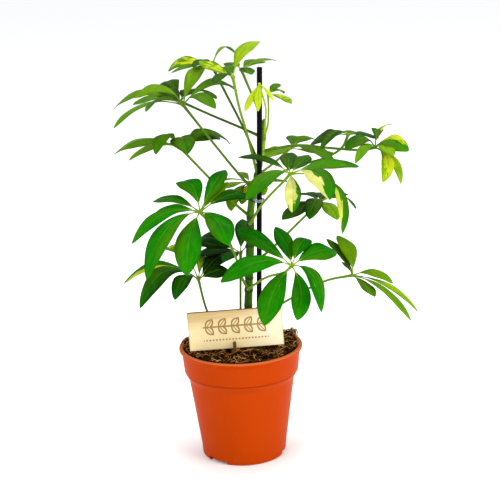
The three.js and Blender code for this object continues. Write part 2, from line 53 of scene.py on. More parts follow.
def placed(name, data):  # an object at the origin for a mesh, a lamp or a camera
    made = bpy.data.objects.new(name, data)
    bpy.context.scene.collection.objects.link(made)
    return made


# looks level along +Y, tipped down by the pitch, then rolled about the line of sight
def makeCamera():
    pitch, roll = math.radians(cameraView["pitch"]), math.radians(cameraView["roll"])
    forward = Vector((0, math.cos(pitch), -math.sin(pitch)))
    level = Vector((1, 0, 0))
    upright = level.cross(forward)
    right = math.cos(roll) * level - math.sin(roll) * upright
    up = math.cos(roll) * upright + math.sin(roll) * level
    data = bpy.data.cameras.new("camera")
    data.sensor_width = cameraView["sensor"]
    data.lens = cameraView["sensor"] * cameraView["focal"] / cameraView["picture"]
    camera = placed("camera", data)
    camera.matrix_world = Matrix((right, up, -forward)).transposed().to_4x4()
    camera.location = Vector(cameraView["place"]) * mm
    bpy.context.scene.camera = camera


makeCamera()


# Surfaces. A part is points in mm, four-sided faces, triangles, and one array for each trait, which a
# material reads. Traits that one of the joined parts lacks are 0 there.
def joined(parts):
    counts = [len(part["points"]) for part in parts]
    starts = np.cumsum([0, *counts[:-1]])
    names = sorted({name for part in parts for name in part["traits"]})

    def everyFace(kind):
        return np.concatenate([part[kind] + start for part, start in zip(parts, starts)])

    def everyValue(name):
        return np.concatenate([np.broadcast_to(part["traits"].get(name, 0.0), count)
                               for part, count in zip(parts, counts)])

    return {"points": np.concatenate([part["points"] for part in parts]), "quads": everyFace("quads"),
            "tris": everyFace("tris"), "traits": {name: everyValue(name) for name in names}}


noTris = np.zeros((0, 3), int)


# faces between the rows of a grid whose points are numbered row by row
def gridFaces(rows, columns, closeRows=False, closeColumns=False):
    row = np.arange(rows if closeRows else rows - 1)[:, None]
    column = np.arange(columns if closeColumns else columns - 1)[None, :]
    nextRow, nextColumn = (row + 1) % rows, (column + 1) % columns
    a, b = row * columns + column, row * columns + nextColumn
    c, d = nextRow * columns + nextColumn, nextRow * columns + column
    return np.stack([a, b, c, d], -1).reshape(-1, 4)


# faces of rings that are numbered ring by ring, closed by a fan round each of the two poles after them
def ringFaces(rings, sides):
    around = np.arange(sides)
    following = (around + 1) % sides
    last = (rings - 1) * sides
    pole = np.full(sides, rings * sides)
    low = np.stack([pole, following, around], -1)
    high = np.stack([pole + 1, last + around, last + following], -1)
    return {"quads": gridFaces(rings, sides, closeColumns=True), "tris": np.concatenate([low, high])}


# the same faces for each of many bodies, points (body, point, 3)
def repeated(points, faces):
    starts = (np.arange(len(points)) * points.shape[1])[:, None, None]
    return {"points": points.reshape(-1, 3), "quads": (faces["quads"] + starts).reshape(-1, 4),
            "tris": (faces["tris"] + starts).reshape(-1, 3), "traits": {}}


# a closed part; faces that point inwards, where its signed volume is negative, are turned
def solid(points, quads, tris=noTris, **traits):
    every = np.concatenate([quads[:, [0, 1, 2]], quads[:, [0, 2, 3]], tris])
    centred = points - points.mean(0)
    a, b, c = (centred[every[:, k]] for k in range(3))
    if (a * np.cross(b, c)).sum() < 0:
        quads, tris = quads[:, ::-1], tris[:, ::-1]
    return {"points": points, "quads": quads, "tris": tris, "traits": traits}


def setTraits(mesh, traits):
    for name, values in traits.items():
        mesh.attributes.new(name, "FLOAT", "POINT").data.foreach_set("value", values.astype(np.float32))


# a piece under the root body, which takes the place of a node, and hides it, when one is given
def dressed(name, mesh, node=None):
    piece = placed(name, mesh)
    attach(piece, "root")
    if node:
        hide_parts(node)
    return piece


def makePiece(name, part, materials, node=None, sharp=None, faceSlots=None):
    quads, tris = part["quads"], part["tris"]
    sizes = np.concatenate([np.full(len(quads), 4), np.full(len(tris), 3)])
    starts = np.concatenate([[0], np.cumsum(sizes)[:-1]])
    corners = np.concatenate([quads.ravel(), tris.ravel()])
    mesh = bpy.data.meshes.new(name)
    mesh.vertices.add(len(part["points"]))
    mesh.vertices.foreach_set("co", (part["points"] * mm).astype(np.float32).ravel())
    mesh.loops.add(len(corners))
    mesh.loops.foreach_set("vertex_index", corners.astype(np.int32))
    mesh.polygons.add(len(sizes))
    mesh.polygons.foreach_set("loop_start", starts.astype(np.int32))
    mesh.polygons.foreach_set("use_smooth", np.ones(len(sizes), bool))
    if faceSlots is not None:
        mesh.polygons.foreach_set("material_index", faceSlots.astype(np.int32))
    mesh.update(calc_edges=True)
    setTraits(mesh, part["traits"])
    if sharp is not None:
        mesh.set_sharp_from_angle(angle=math.radians(sharp))
    for material in materials:
        mesh.materials.append(material)
    return dressed(name, mesh, node)


def unit(vectors):
    return vectors / np.maximum(np.linalg.norm(vectors, axis=-1, keepdims=True), 1e-12)


def fullTurn(count):  # equal angles round a circle
    return np.linspace(0, 2 * np.pi, count, endpoint=False)


def turned(a, b, angle):  # the place (a, b) turned about the origin of its plane
    cos, sin = np.cos(angle), np.sin(angle)
    return a * cos - b * sin, a * sin + b * cos


# round tubes along many paths at once, paths (tube, step, 3) and radii (tube, step): each ring stands
# square to its path, turned from the direction in which that path spreads least, and both ends are closed
def tubes(paths, radii, sides, **traits):
    count, steps = paths.shape[:2]
    along = unit(np.gradient(paths, axis=1))
    spread = np.linalg.svd(paths - paths.mean(1, keepdims=True), full_matrices=True)[2][:, 2]
    first = unit(spread[:, None] - (spread[:, None] * along).sum(-1, keepdims=True) * along)
    second = np.cross(along, first)
    turn = fullTurn(sides)
    ring = np.cos(turn)[:, None] * first[:, :, None] + np.sin(turn)[:, None] * second[:, :, None]
    wall = paths[:, :, None] + radii[:, :, None, None] * ring
    points = np.concatenate([wall.reshape(count, -1, 3), paths[:, :1], paths[:, -1:]], axis=1)
    part = repeated(points, ringFaces(steps, sides))
    step = np.concatenate([np.repeat(np.linspace(0, 1, steps), sides), [0, 1]])
    part["traits"]["along"] = np.tile(step, count)
    for name, value in traits.items():
        part["traits"][name] = np.repeat(np.broadcast_to(value, count), len(step))
    return part


# rings round the Z axis, each at its radius, at one height or at a height for each ring or point
def ringsAt(radii, heights, sides):
    turn = fullTurn(sides)
    x, y = np.outer(radii, np.cos(turn)), np.outer(radii, np.sin(turn))
    return np.stack([x, y, np.broadcast_to(heights, x.shape)], -1)


def closedRings(rings, lowPole, highPole):
    points = np.concatenate([rings.reshape(-1, 3), [[0, 0, lowPole], [0, 0, highPole]]])
    return solid(points, **ringFaces(*rings.shape[:2]))


# a profile of (radius, height) carried round the Z axis, from a pole at radius 0 to another
def lathe(profile, sides):
    profile = np.asarray(profile, float)
    return closedRings(ringsAt(profile[1:-1, 0], profile[1:-1, 1:], sides), profile[0, 1], profile[-1, 1])


# a smooth line through the given places: centripetal Catmull-Rom, read at equal steps of its length
def smoothLine(places, steps):
    places = np.asarray(places, float)
    places = np.concatenate([[2 * places[0] - places[1]], places, [2 * places[-1] - places[-2]]])
    knots = np.concatenate([[0], np.cumsum(np.linalg.norm(np.diff(places, axis=0), axis=1) ** 0.5)])
    fine = np.linspace(knots[1], knots[-2], 400)
    span = np.clip(np.searchsorted(knots, fine, side="right") - 1, 1, len(places) - 3)
    k = [knots[span + offset][:, None] for offset in (-1, 0, 1, 2)]
    p = [places[span + offset] for offset in (-1, 0, 1, 2)]
    t = fine[:, None]

    def between(a, b, ta, tb):
        return a * (tb - t) / (tb - ta) + b * (t - ta) / (tb - ta)

    first = [between(p[i], p[i + 1], k[i], k[i + 1]) for i in range(3)]
    second = [between(first[i], first[i + 1], k[i], k[i + 2]) for i in range(2)]
    line = between(second[0], second[1], k[1], k[2])
    length = np.concatenate([[0], np.cumsum(np.linalg.norm(np.diff(line, axis=0), axis=1))])
    at = np.linspace(0, length[-1], steps)
    return np.stack([np.interp(at, length, line[:, axis]) for axis in range(3)], -1)


# soft unevenness: the mean of a few sine waves that run in random directions
def ripple(points, size, waves=9, seed=1):
    random = np.random.default_rng(seed)
    directions = unit(random.normal(size=(waves, 3))) * 2 * np.pi / size
    directions = directions * random.uniform(0.6, 1.6, (waves, 1))
    return np.sin(points @ directions.T + random.uniform(0, 2 * np.pi, waves)).mean(-1) * 2


class Wire:  # a socket on which sums add Math nodes
    def __init__(self, finish, socket):
        self.finish, self.socket = finish, socket

    def __add__(self, other):
        return self.finish.math("ADD", self, other)

    def __sub__(self, other):
        return self.finish.math("SUBTRACT", self, other)

    def __rsub__(self, other):
        return self.finish.math("SUBTRACT", other, self)

    def __mul__(self, other):
        return self.finish.math("MULTIPLY", self, other)

    def __truediv__(self, other):
        return self.finish.math("DIVIDE", self, other)

    def __pow__(self, other):
        return self.finish.math("POWER", self, other)

    def __abs__(self):
        return self.finish.math("ABSOLUTE", self)

    __radd__, __rmul__ = __add__, __mul__


def rgb(red, green, blue):
    return (red, green, blue, 1.0)


class Finish:  # a material, or the world, made of nodes
    def __init__(self, name, kind="Material"):
        self.owner = (bpy.data.materials if kind == "Material" else bpy.data.worlds).new(name)
        self.owner.use_nodes = True
        self.tree = self.owner.node_tree
        self.tree.nodes.clear()
        self.output = self.tree.nodes.new("ShaderNodeOutput" + kind)

    # settings are set first; a ramp's stops are rows of (place, red, green, blue)
    def node(self, kind, settings=None, values=None, output=0):
        made = self.tree.nodes.new(kind)
        for name, value in (settings or {}).items():
            if name == "stops":
                elements = made.color_ramp.elements
                while len(elements) < len(value):
                    elements.new(0.5)
                for element, (place, *colour) in zip(elements, value):
                    element.position, element.color = place, rgb(*colour)
            else:
                setattr(made, name, value)
        for name, value in (values or {}).items():
            if isinstance(value, Wire):
                self.tree.links.new(value.socket, made.inputs[name])
            else:
                made.inputs[name].default_value = value
        return Wire(self, made.outputs[output])

    def math(self, operation, *values):
        return self.node("ShaderNodeMath", {"operation": operation}, dict(enumerate(values)))

    def trait(self, name):
        return self.node("ShaderNodeAttribute", {"attribute_name": name}, output="Fac")

    def place(self):
        return self.node("ShaderNodeTexCoord", output="Object")

    def axis(self, name):  # of the place, in metres
        return self.node("ShaderNodeSeparateXYZ", values={0: self.place()}, output=name)

    def vector(self, *values):
        return self.node("ShaderNodeCombineXYZ", values=dict(enumerate(values)))

    def upright(self, place, share):  # drawn out along Z, for streaks
        return self.node("ShaderNodeMapping", values={"Vector": place, "Scale": (1, 1, share)})

    def noise(self, place, scale, detail=3.0, roughness=0.5):
        values = {"Vector": place, "Scale": scale, "Detail": detail, "Roughness": roughness}
        return self.node("ShaderNodeTexNoise", values=values)

    def smooth(self, value, low, high):  # 0 at low, 1 at high and smooth between, either way round
        values = dict(enumerate([value, low, high, 0.0, 1.0]))
        return self.node("ShaderNodeMapRange", {"interpolation_type": "SMOOTHSTEP"}, values)

    def ramp(self, value, stops):
        return self.node("ShaderNodeValToRGB", {"stops": stops}, {0: value})

    def mix(self, share, first, second):
        return self.node("ShaderNodeMix", {"data_type": "RGBA"}, {0: share, 6: first, 7: second}, output=2)

    def coats(self, colour, *coats):  # paints laid over a colour, each by its share
        for share, paint in coats:
            colour = self.mix(share, colour, paint)
        return colour

    # a bump is a relief, its height in metres and its strength
    def shader(self, colour, rough, shine=0.5, bump=None, **sockets):
        values = {"Base Color": colour, "Roughness": rough, "Specular IOR Level": shine}
        values.update({name.replace("_", " "): value for name, value in sockets.items()})
        if bump:
            bumps = dict(zip(("Height", "Distance", "Strength"), bump))
            values["Normal"] = self.node("ShaderNodeBump", values=bumps)
        return self.node("ShaderNodeBsdfPrincipled", values=values)

    def done(self, shader):
        self.tree.links.new(shader.socket, self.output.inputs["Surface"])
        return self.owner

    def skin(self, *looks, **sockets):
        return self.done(self.shader(*looks, **sockets))


# colours of a blade along its tone, from an old shaded leaf to a new one with the light behind it, for
# the lush green of the lower leaves and for the olive of the upper ones, partly their own colour and partly
# a painted sheen of blades seen edge-on
leafPaint = {
    "lush": [(0.00, 0.002, 0.010, 0.0010), (0.25, 0.004, 0.050, 0.0008), (0.50, 0.007, 0.190, 0.0003),
             (0.70, 0.045, 0.250, 0.0003), (0.85, 0.160, 0.330, 0.0010), (1.00, 0.500, 0.620, 0.0040)],
    "olive": [(0.00, 0.008, 0.018, 0.0010), (0.25, 0.022, 0.055, 0.0015), (0.50, 0.066, 0.172, 0.0008),
              (0.70, 0.125, 0.260, 0.0015), (0.85, 0.270, 0.430, 0.0060), (1.00, 0.550, 0.660, 0.0200)],
    "yellow": rgb(0.60, 0.66, 0.02), "cream": rgb(0.72, 0.71, 0.20), "lime": rgb(0.14, 0.30, 0.01),
    "rib": rgb(0.22, 0.40, 0.03), "under": rgb(0.09, 0.20, 0.003), "paintedSheen": rgb(0.16, 0.40, 0.015),
    "halfOlive": 0.45, "tipOlive": 0.4,  # painted sheen: more olive on one half, less at the tip
    "mottleScale": 95.0, "cloudScale": 30.0, "patchScale": 1.7,
    # what each adds to the tone: halfTone paints one half lighter than the other, edgeTone paints shade at
    # the edges, tipTone a highlight at the tip, and patches are partly painted highlight streaks
    "halfTone": 0.10, "mottle": 0.12, "clouds": 0.20, "patches": 0.28, "edgeTone": -0.10, "tipTone": 0.05,
    "lift": 0.02,
    # what each adds to the reach of the yellow, which begins where that passes the last of them
    "sideYellow": 0.62, "middleYellow": 0.12, "edgeYellow": -0.16, "tipYellow": -0.24, "yellowFrom": 0.86,
    "fringe": 0.55,  # strength of the lime beside the yellow
    "veins": 9.0, "veinSlant": 4.4,  # pairs along a blade, and how far they lean towards the tip
    "coats": {"vein": 0.03, "rib": 0.22, "under": 0.45, "paintedSheen": 0.13},  # strength of each over the green
    "fine": (260.0, 0.8), "finest": (1500.0, 0.08),  # scale and height of the two grains
    "relief": 0.00025, "reliefStrength": 0.55,
    "roughness": 0.36, "shine": 0.025, "through": 0.16,  # share of light that a blade lets through
}


def leafFinish():
    p = leafPaint
    f = Finish("leafBlade")
    along, across, tone, olive, golden, side, pale, seed, under, wide = (f.trait(name) for name in (
        "along", "across", "tone", "olive", "golden", "side", "pale", "seed", "under", "wide"))
    place = f.place()
    edgeward = abs(across)
    mottle = f.noise(place, p["mottleScale"]) - 0.5
    clouds = f.noise(place, p["cloudScale"], 2.0) - 0.5
    # patches lie between the side veins: noise read along the veins' slant, shifted for each leaflet
    slant = along * 3.2 - edgeward * 0.7 + seed * 17.0
    patches = f.noise(f.vector(slant, across * 1.3, seed * 9.0), p["patchScale"], 3.0, 0.62)
    # painted light and shade in the tone: one half lighter than the other, darker edges, a paler tip, and
    # patches that are partly the blade's own tone and partly painted highlight streaks
    depth = (tone + across * (seed - 0.5) * p["halfTone"] + mottle * p["mottle"] + clouds * p["clouds"]
             + (patches - 0.5) * p["patches"] + edgeward ** 4 * p["edgeTone"]
             + f.smooth(along, 0.70, 1.0) * p["tipTone"] + p["lift"])
    # painted sheen: one half of the blade is more olive than the other, and the tip less
    olive = olive + f.smooth(across * (seed - 0.5), 0.0, 0.25) * p["halfOlive"]
    olive = olive - f.smooth(along, 0.55, 1.0) * p["tipOlive"]
    green = f.mix(olive, f.ramp(depth, p["lush"]), f.ramp(depth, p["olive"]))
    # yellow runs from the middle to near the edge and the tip, with a lime fringe
    middle = f.smooth(edgeward, 0.95, 0.35) * p["middleYellow"]
    margin = f.smooth(edgeward, 0.62, 1.0) * p["edgeYellow"] + f.smooth(along, 0.66, 0.95) * p["tipYellow"]
    reach = patches + side * across * p["sideYellow"] + middle + margin + golden - p["yellowFrom"]
    yellow = f.smooth(reach, -0.015, 0.03)
    fringe = f.smooth(reach, -0.09, -0.02)
    gold = f.mix(mottle + 0.25, f.mix(pale, p["yellow"], p["cream"]), green)
    colour = f.mix(yellow, f.mix(fringe * p["fringe"], green, p["lime"]), gold)
    # midrib and side veins
    rib = f.smooth(edgeward * wide, 0.75, 0.25) * f.smooth(along, 1.0, 0.35)
    vein = f.math("SINE", along * p["veins"] * (2 * math.pi) - edgeward * p["veinSlant"]) * 0.5 + 0.5
    vein = f.smooth(vein, 0.93, 1.0) * f.smooth(edgeward, 1.0, 0.6) * (1 - yellow)
    # painted sheen: the blade is painted paler in soft streaks, where a gloss would catch the light
    streak = f.noise(f.vector(along * 1.6 + seed * 31.0, across * 2.4, seed), 1.6, 2.0)
    paintedSheen = f.smooth(streak, 0.52, 0.78) * f.smooth(edgeward, 1.0, 0.7)
    share = p["coats"]
    colour = f.coats(colour, (vein * share["vein"], p["rib"]), (rib * share["rib"], p["rib"]),
                     (under * share["under"], p["under"]), (paintedSheen * share["paintedSheen"], p["paintedSheen"]))
    (fine, fineHigh), (finest, finestHigh) = p["fine"], p["finest"]
    relief = vein * -0.2 - rib + f.noise(place, fine) * fineHigh + f.noise(place, finest, 2.0) * finestHigh
    rough = p["roughness"] + mottle * 0.12 + under * 0.25
    front = f.shader(colour, rough, p["shine"], (relief, p["relief"], p["reliefStrength"]))
    through = f.node("ShaderNodeBsdfTranslucent", values={"Color": colour})
    return f.done(f.node("ShaderNodeMixShader", values={0: p["through"], 1: front, 2: through}))


stalkPaint = {
    "green": [(0.0, 0.012, 0.030, 0.002), (0.4, 0.075, 0.170, 0.003), (0.7, 0.180, 0.330, 0.005),
              (1.0, 0.420, 0.560, 0.010)],
    "ends": rgb(0.22, 0.13, 0.03),
}


def stalkFinish():
    f = Finish("leafStalk")
    streaks = f.noise(f.upright(f.place(), 0.25), 240.0)
    colour = f.ramp(f.trait("tone") + (streaks - 0.5) * 0.25, stalkPaint["green"])
    ends = f.smooth(abs(f.trait("along") - 0.5), 0.455, 0.5)
    colour = f.mix(ends * 0.2, colour, stalkPaint["ends"])
    return f.skin(colour, 0.42, 0.1, (streaks, 0.0002, 0.4))


leafBlade, leafStalk = leafFinish(), stalkFinish()
print("leaf finishes made")


stem = {
    # places on the centre line and the radius there
    "line": [(7, 5, 60, 4.2), (7.5, 5, 112, 4.2), (8.6, 5, 145, 4), (12.2, 5, 201, 4), (14.7, 5, 246, 3.6),
             (20.4, 5, 271, 3.2), (26.6, 5, 299, 2.7), (29.5, 3.5, 322, 2.1), (30, 3, 330, 1.2)],
    "sides": 28,
    "steps": 170,
    "oldScars": [118, 136, 148, 176, 208, 218],  # heights of scars that no leaf stands on
    "scar": 0.45,  # how far a leaf scar stands out
    "scarTall": 1.1,
    "lump": 0.12, "lumpLong": 14.0,
    "sunny": (0.85, -0.5, 0),  # the way the side painted lighter green, as if lit from there, faces
    "skin": [(0.00, 0.012, 0.040, 0.002), (0.25, 0.035, 0.120, 0.003), (0.60, 0.120, 0.300, 0.005),
             (0.95, 0.280, 0.480, 0.010)],
    "spots": rgb(0.30, 0.33, 0.12),
}
stemLine = smoothLine([place[:3] for place in stem["line"]], stem["steps"])


def stemPlaceAt(height):
    return np.array([np.interp(height, stemLine[:, 2], stemLine[:, axis]) for axis in range(3)])


petiole = {"radius": 1.15, "foot": 1.9, "footFade": 9, "swell": 0.5, "swellFade": 14, "youngRadius": 0.8,
           "youngFoot": 1.0, "steps": 40, "sides": 12, "hub": 2.3, "youngHub": 1.5, "hubFlat": 0.75,
           "hubSteps": 9, "hubSides": 16}
blade = {
    "rows": 26,
    "across": np.array([-1, -0.72, -0.44, -0.2, -0.07, 0, 0.07, 0.2, 0.44, 0.72, 1]),
    "taper": 1.3, "blunt": 0.68,  # the two powers of the outline
    "tip": 0.04,  # least width, as a share of the full one
    "stalk": 0.12,  # share of a leaflet's length that is bare stalk
    "stalkRadius": 0.8, "stalkYoung": 0.7, "stalkDrop": 0.35, "stalkSteps": 12, "stalkSides": 8,
    "stalkOn": 0.1,  # share of the length by which the stalk runs on under the blade
    "stalkTone": 0.15, "toneSpread": 0.03,
    "thick": 0.42, "edgeThick": 0.22,
    "channel": 0.14,  # rise of the two halves from the midrib, as a share of the width
    "edgeDroop": 0.17,  # fall of the edges, as a share of the width
    "groove": 0.22, "grooveWide": 0.5,  # of the midrib above
    "rib": 0.5, "ribWide": 0.55,  # of the midrib below
    "wave": 0.035, "waves": 1.6,
    "sickle": 0.02,  # of leaflets that have no sideways bend of their own, either way
    "olive": 0.85, "arch": 0.15,  # for a leaf that has no value of its own
    "overlap": 0.3,  # neighbours arch more and less by this share
}

# tone from 0 dark to 1 pale, how much of the blade is yellow, which half of it has more, and how far
# that yellow is a cream
looks = {
    "deep": (0.14, 0, 0, 0), "dark": (0.30, 0, 0, 0), "green": (0.48, 0, 0, 0), "fresh": (0.66, 0, 0, 0),
    "light": (0.78, 0, 0, 0), "lime": (0.83, 0, 0, 0), "new": (0.97, 0, 0, 0), "grey": (0.36, 0, 0, 0),
    "patched": (0.46, 0.18, 1, 0), "gilded": (0.76, 0.29, 0, 0), "golden": (0.70, 0.29, 0, 0),
    "goldLeft": (0.46, 0.26, -0.7, 0), "goldRight": (0.50, 0.14, 0.8, 0), "goldTip": (0.84, 0.40, 0.3, 0),
    "creamLeft": (0.42, 0.22, -1, 1), "creamEdge": (0.44, 0.10, -1, 0.4), "cream": (0.46, 0.47, -0.5, 1),
}

# Each leaf as the frame has it, under its node. Its line runs from a height on the stem, or a place in the
# soil, to the hub; its blades face one way; its stalk has a tone; some leaves arch or are olive otherwise
# than most. For each leaflet: the way from the hub to its tip, its width and its look, then, where it
# departs from the rest, its arch, its sideways bend, its roll in degrees and the share of it that is bare
# stalk, with None for what stays usual.
leaves = {
    "leaf_top_left": dict(
        line=[277, (12, 0, 322), (7, -4, 342), (2, -5, 371)], face=(-0.2, -0.35, 1), arch=0.1, stalk=0.62,
        leaflets=[(-31, 25, 13, 13, "gilded", 0.05), (26, 36, 28, 18, "lime", 0.2),
            (-17, -36, 0, 14, "dark", 0.15), (-6, 44, 5, 14, "green")]),
    "leaf_top_left_back": dict(
        line=[286, (10, 22, 319), (-8, 45, 354), (-18, 50, 375)], face=(-0.2, -0.3, 1), stalk=0.3,
        leaflets=[(-44, 34, -7, 16, "golden", 0.2, None, -20), (-38, -24, -2, 9, "green"),
            (-17, -30, 3, 13, "dark"), (23, 44, 6, 6, "fresh", 0.25), (-12, 50, -10, 14, "light", 0.05)]),
    "leaf_top_right": dict(
        line=[320, (22, 13, 344), (17, 21, 356), (10, 30, 373)], face=(0.1, -0.15, 1), stalk=0.45,
        leaflets=[(34, 45, 2, 8, "fresh", 0.1), (9, -37, 0, 13, "green"), (14, 46, 4, 12, "green", 0.05),
            (-14, 47, -2, 14, "green"), (24, 43, 2, 10, "light", 0.05)]),
    "leaf_upper_left": dict(
        line=[262, (6, -1, 277), (-14, -8, 305), (-45, -5, 347)], face=(-0.1, -0.4, 1), arch=0.2,
        stalk=0.35,
        leaflets=[(19, 43, 31, 16, "fresh", 0.15), (50, 42, 5, 18, "green", 0.25),
            (31, -42, 2, 14, "green", 0.2, 0.05), (-43, -14, 10, 17, "fresh", 0.3),
            (-60, -50, -11, 16, "fresh", 0.15, None, 20), (-30, -58, 4, 14, "green", 0.15, None, 30),
            (-22, 54, 6, 18, "dark", 0.1)]),
    "leaf_upper_left_back": dict(
        line=[312, (9, 14, 320), (-21, 32, 331), (-50, 45, 343)], face=(-0.15, -0.3, 1), stalk=0.25,
        leaflets=[(-67, 30, -10, 18, "fresh"), (-52, 50, 1, 17, "green"), (-17, 55, 8, 19, "dark"),
            (14, 48, 3, 18, "dark"), (34, 40, -5, 18, "dark"), (-42, -38, 4, 15, "green")]),
    "leaf_middle_left": dict(
        line=[236, (-3, 0, 253), (-24, -6, 278), (-50, -10, 309)], face=(-0.1, -0.35, 1), arch=0.2,
        stalk=0.45,
        leaflets=[(-64, 32, -11, 18, "fresh"), (-45, -28, -6, 10, "fresh"),
            (-19, -46, 2, 16, "green", 0.3, None, 10), (-50, 5, 1, 14, "green", 0.1),
            (10, -47, 2, 23, "grey", 0.25), (36, 48, 0, 22, "green", None, None, 20),
            (47, 29, -5, 18, "green"), (-8, 49, -6, 18, "dark", 0.05)]),
    "leaf_front_left": dict(
        line=[164, (4, -5, 178), (-5, -25, 214), (-32, -48, 255)], olive=0, face=(0.1, -0.5, 1), arch=0.2,
        stalk=0.5,
        leaflets=[(-20, 41, 19, 23, "green", None, -0.05), (24, 50, 28, 15, "green"),
            (26, 33, 20, 10, "light", 0.05), (51, 35, -1, 18, "dark", 0.25),
            (25, -46, -20, 24, "green", 0.15, 0.05), (-12, -55, -44, 24, "green", 0.1, -0.05),
            (-48, -52, -47, 19, "green", 0.25, -0.05), (-61, -30, -20, 14, "green", 0.2, -0.05),
            (-46, 39, 2, 15, "green", 0.15), (-46, 10, -7, 17, "green", 0.15)]),
    "leaf_back_middle": dict(
        line=[226, (16, 24, 246), (15, 45, 261)], face=(0, 0.1, 1), arch=0.1, stalk=0.6,
        leaflets=[(-29, -30, 1, 18, "light"), (-19, -38, -19, 14, "gilded", 0.1, -0.1),
            (-9, -33, -14, 12, "golden"), (-11, 38, 3, 10, "fresh"), (12, -38, -5, 17, "light"),
            (28, 42, -4, 20, "light"), (46, 14, -6, 20, "fresh"), (-46, 16, -8, 17, "light")]),
    "leaf_front_right": dict(
        line=[229, (14, -6, 233), (24, -14, 251), (46, -44, 281), (51, -50, 288)], olive=0.5,
        face=(0.1, -0.35, 1), stalk=0.6,
        leaflets=[(-41, -48, -12, 17, "green", 0.2), (-47, 46, 8, 13, "dark", 0.1),
            (4, 49, 10, 18, "grey", 0.05, 0.05), (19, 45, 8, 15, "grey", 0.05), (65, 34, -2, 19, "green"),
            (32, -50, -14, 24, "creamLeft", 0.2, 0.1), (-1, -54, -23, 15, "cream", 0.1),
            (44, -30, -50, 14, "creamEdge", 0.25, 0.2, None, 0.4)]),
    "leaf_right_back": dict(
        line=[190, (26, 6, 198), (66, 12, 233), (81, 15, 246)], olive=0.55, face=(0.1, -0.25, 1), stalk=0.5,
        leaflets=[(13, -46, -7, 16, "light"), (-13, -48, -5, 17, "dark", 0.2), (-38, -46, -5, 18, "dark"),
            (-16, 46, -3, 17, "dark"), (7, 51, -3, 15, "dark", 0.05), (28, 50, -5, 17, "dark"),
            (37, 33, -16, 13, "grey")]),
    "leaf_far_right": dict(
        line=[299, (60, 3, 304), (91, 4, 300), (122, 5, 297), (133, 5, 299)], olive=0.6,
        face=(0.1, -0.35, 1), arch=0.2, stalk=0.35,
        leaflets=[(29, -24, 0, 20, "goldRight", None, None, 20), (13, -36, -2, 14, "light", 0.15),
            (3, -40, -25, 12, "goldTip", None, 0.15), (21, -28, -30, 9, "lime", None, 0.1),
            (21, 44, 14, 9, "goldLeft", None, None, -35), (-30, -22, 3, 17, "grey", 0.3),
            (-22, -42, -6, 10, "fresh", 0.2), (6, 42, 5, 12, "dark")]),
    "leaf_right_shoulder": dict(
        line=[268, (60, 24, 280), (89, 31, 286), (104, 31, 295), (110, 28, 308)], olive=0.7,
        face=(0, -0.3, 1), stalk=0.4,
        leaflets=[(-35, 35, -15, 20, "dark", None, None, -20), (-29, -40, -6, 10, "dark", 0.2),
            (-4, 46, -6, 18, "green", 0.05), (18, 46, -9, 18, "green", 0.05),
            (32, 27, -9, 17, "dark", 0.05)]),
    "leaf_back_right": dict(
        line=[276, (40, 34, 283), (56, 60, 291)], face=(0.1, -0.3, 1), arch=0.1, stalk=0.55,
        leaflets=[(8, 42, 4, 20, "green"), (24, 39, 1, 14, "green"), (-26, 44, -9, 11, "fresh", 0.0),
            (-27, -40, 0, 16, "fresh", 0.05), (40, -50, -7, 15, "green"), (44, 30, -12, 15, "green", 0.0),
            (-30, 8, -5, 14, "light", 0.05)]),
    "leaf_front_low": dict(
        line=[163, (10, -6, 168), (26, -22, 183), (44, -46, 195), (50, -55, 203)], olive=0,
        face=(0, -0.7, 1), stalk=0.6,
        leaflets=[(-65, -35, -3, 21, "green", 0.2), (-49, 48, 25, 18, "green", 0.1),
            (-13, 46, 26, 16, "green", 0.0, -0.05), (17, 39, 15, 17, "green"),
            (43, 30, 4, 23, "green", 0.15), (24, -42, -32, 13, "green", 0.3, 0.1),
            (2, -44, -38, 18, "green", 0.05, 0.1), (-27, -47, -41, 23, "green", 0.1, -0.05)]),
    "leaf_low_right": dict(
        line=[129, (41, 0, 150), (83, -6, 173), (109, -10, 179)], olive=0.85, face=(0.35, -0.45, 1),
        arch=0.1, stalk=0.5,
        leaflets=[(-11, 38, 30, 18, "fresh", None, -0.05), (-22, 34, 28, 12, "grey", None, -0.05),
            (-7, 42, 2, 7, "dark", 0.05), (38, -8, -7, 13, "fresh", 0.2), (50, -48, -32, 9, "fresh"),
            (60, -22, -32, 8, "lime", 0.15), (18, -33, -12, 13, "green", 0.05)]),
    "leaf_low_left": dict(
        line=[(-22, -12, 90), (-25, -10, 128), (-33, -8, 155), (-38, -5, 179)], olive=0.25,
        face=(0, -0.3, 1), arch=0.2, stalk=0.4,
        leaflets=[(-54, -39, -15, 22, "dark", 0.35, -0.05), (-21, -42, -7, 17, "dark", None, -0.05),
            (-73, 10, -5, 18, "patched", 0.25), (-33, 42, 20, 18, "golden", 0.3),
            (3, 46, 15, 9, "gilded", 0.1), (30, 41, 18, 24, "deep", 0.1),
            (28, 14, 5, 18, "deep", 0.15, None, 20)]),
    "leaf_centre_back": dict(
        line=[(0, 14, 90), (1, 14, 140), (3, 15, 198)], olive=0.1, face=(0, -0.2, 1), stalk=0.4,
        leaflets=[(-16, -37, 2, 15, "dark"), (-42, 40, 4, 26, "deep", 0.2, None, -25),
            (3, 41, 24, 14, "dark", 0.1), (27, 37, -3, 15, "dark"), (-44, 8, -2, 20, "deep")]),
    "leaf_young_tip": dict(
        line=[315, (30, -2, 325), (31.5, -6, 340), (26, -12, 365)], face=(0, -0.3, 1), arch=0.1, stalk=0.9,
        young=True,
        leaflets=[(-14, -19, -22, 7, "new"), (-2, -21, -22, 7, "new"), (12, -19, -13, 4, "new")]),
    "leaf_young_side": dict(
        line=[311, (32.5, 5, 321), (34, 3, 336), (34, 0, 353)], face=(0.1, -0.2, 1), stalk=0.8, young=True,
        leaflets=[(21, -20, -6, 11, "gilded"), (15, 19, -2, 10, "fresh"), (11, 21, 7, 9, "green")]),
}


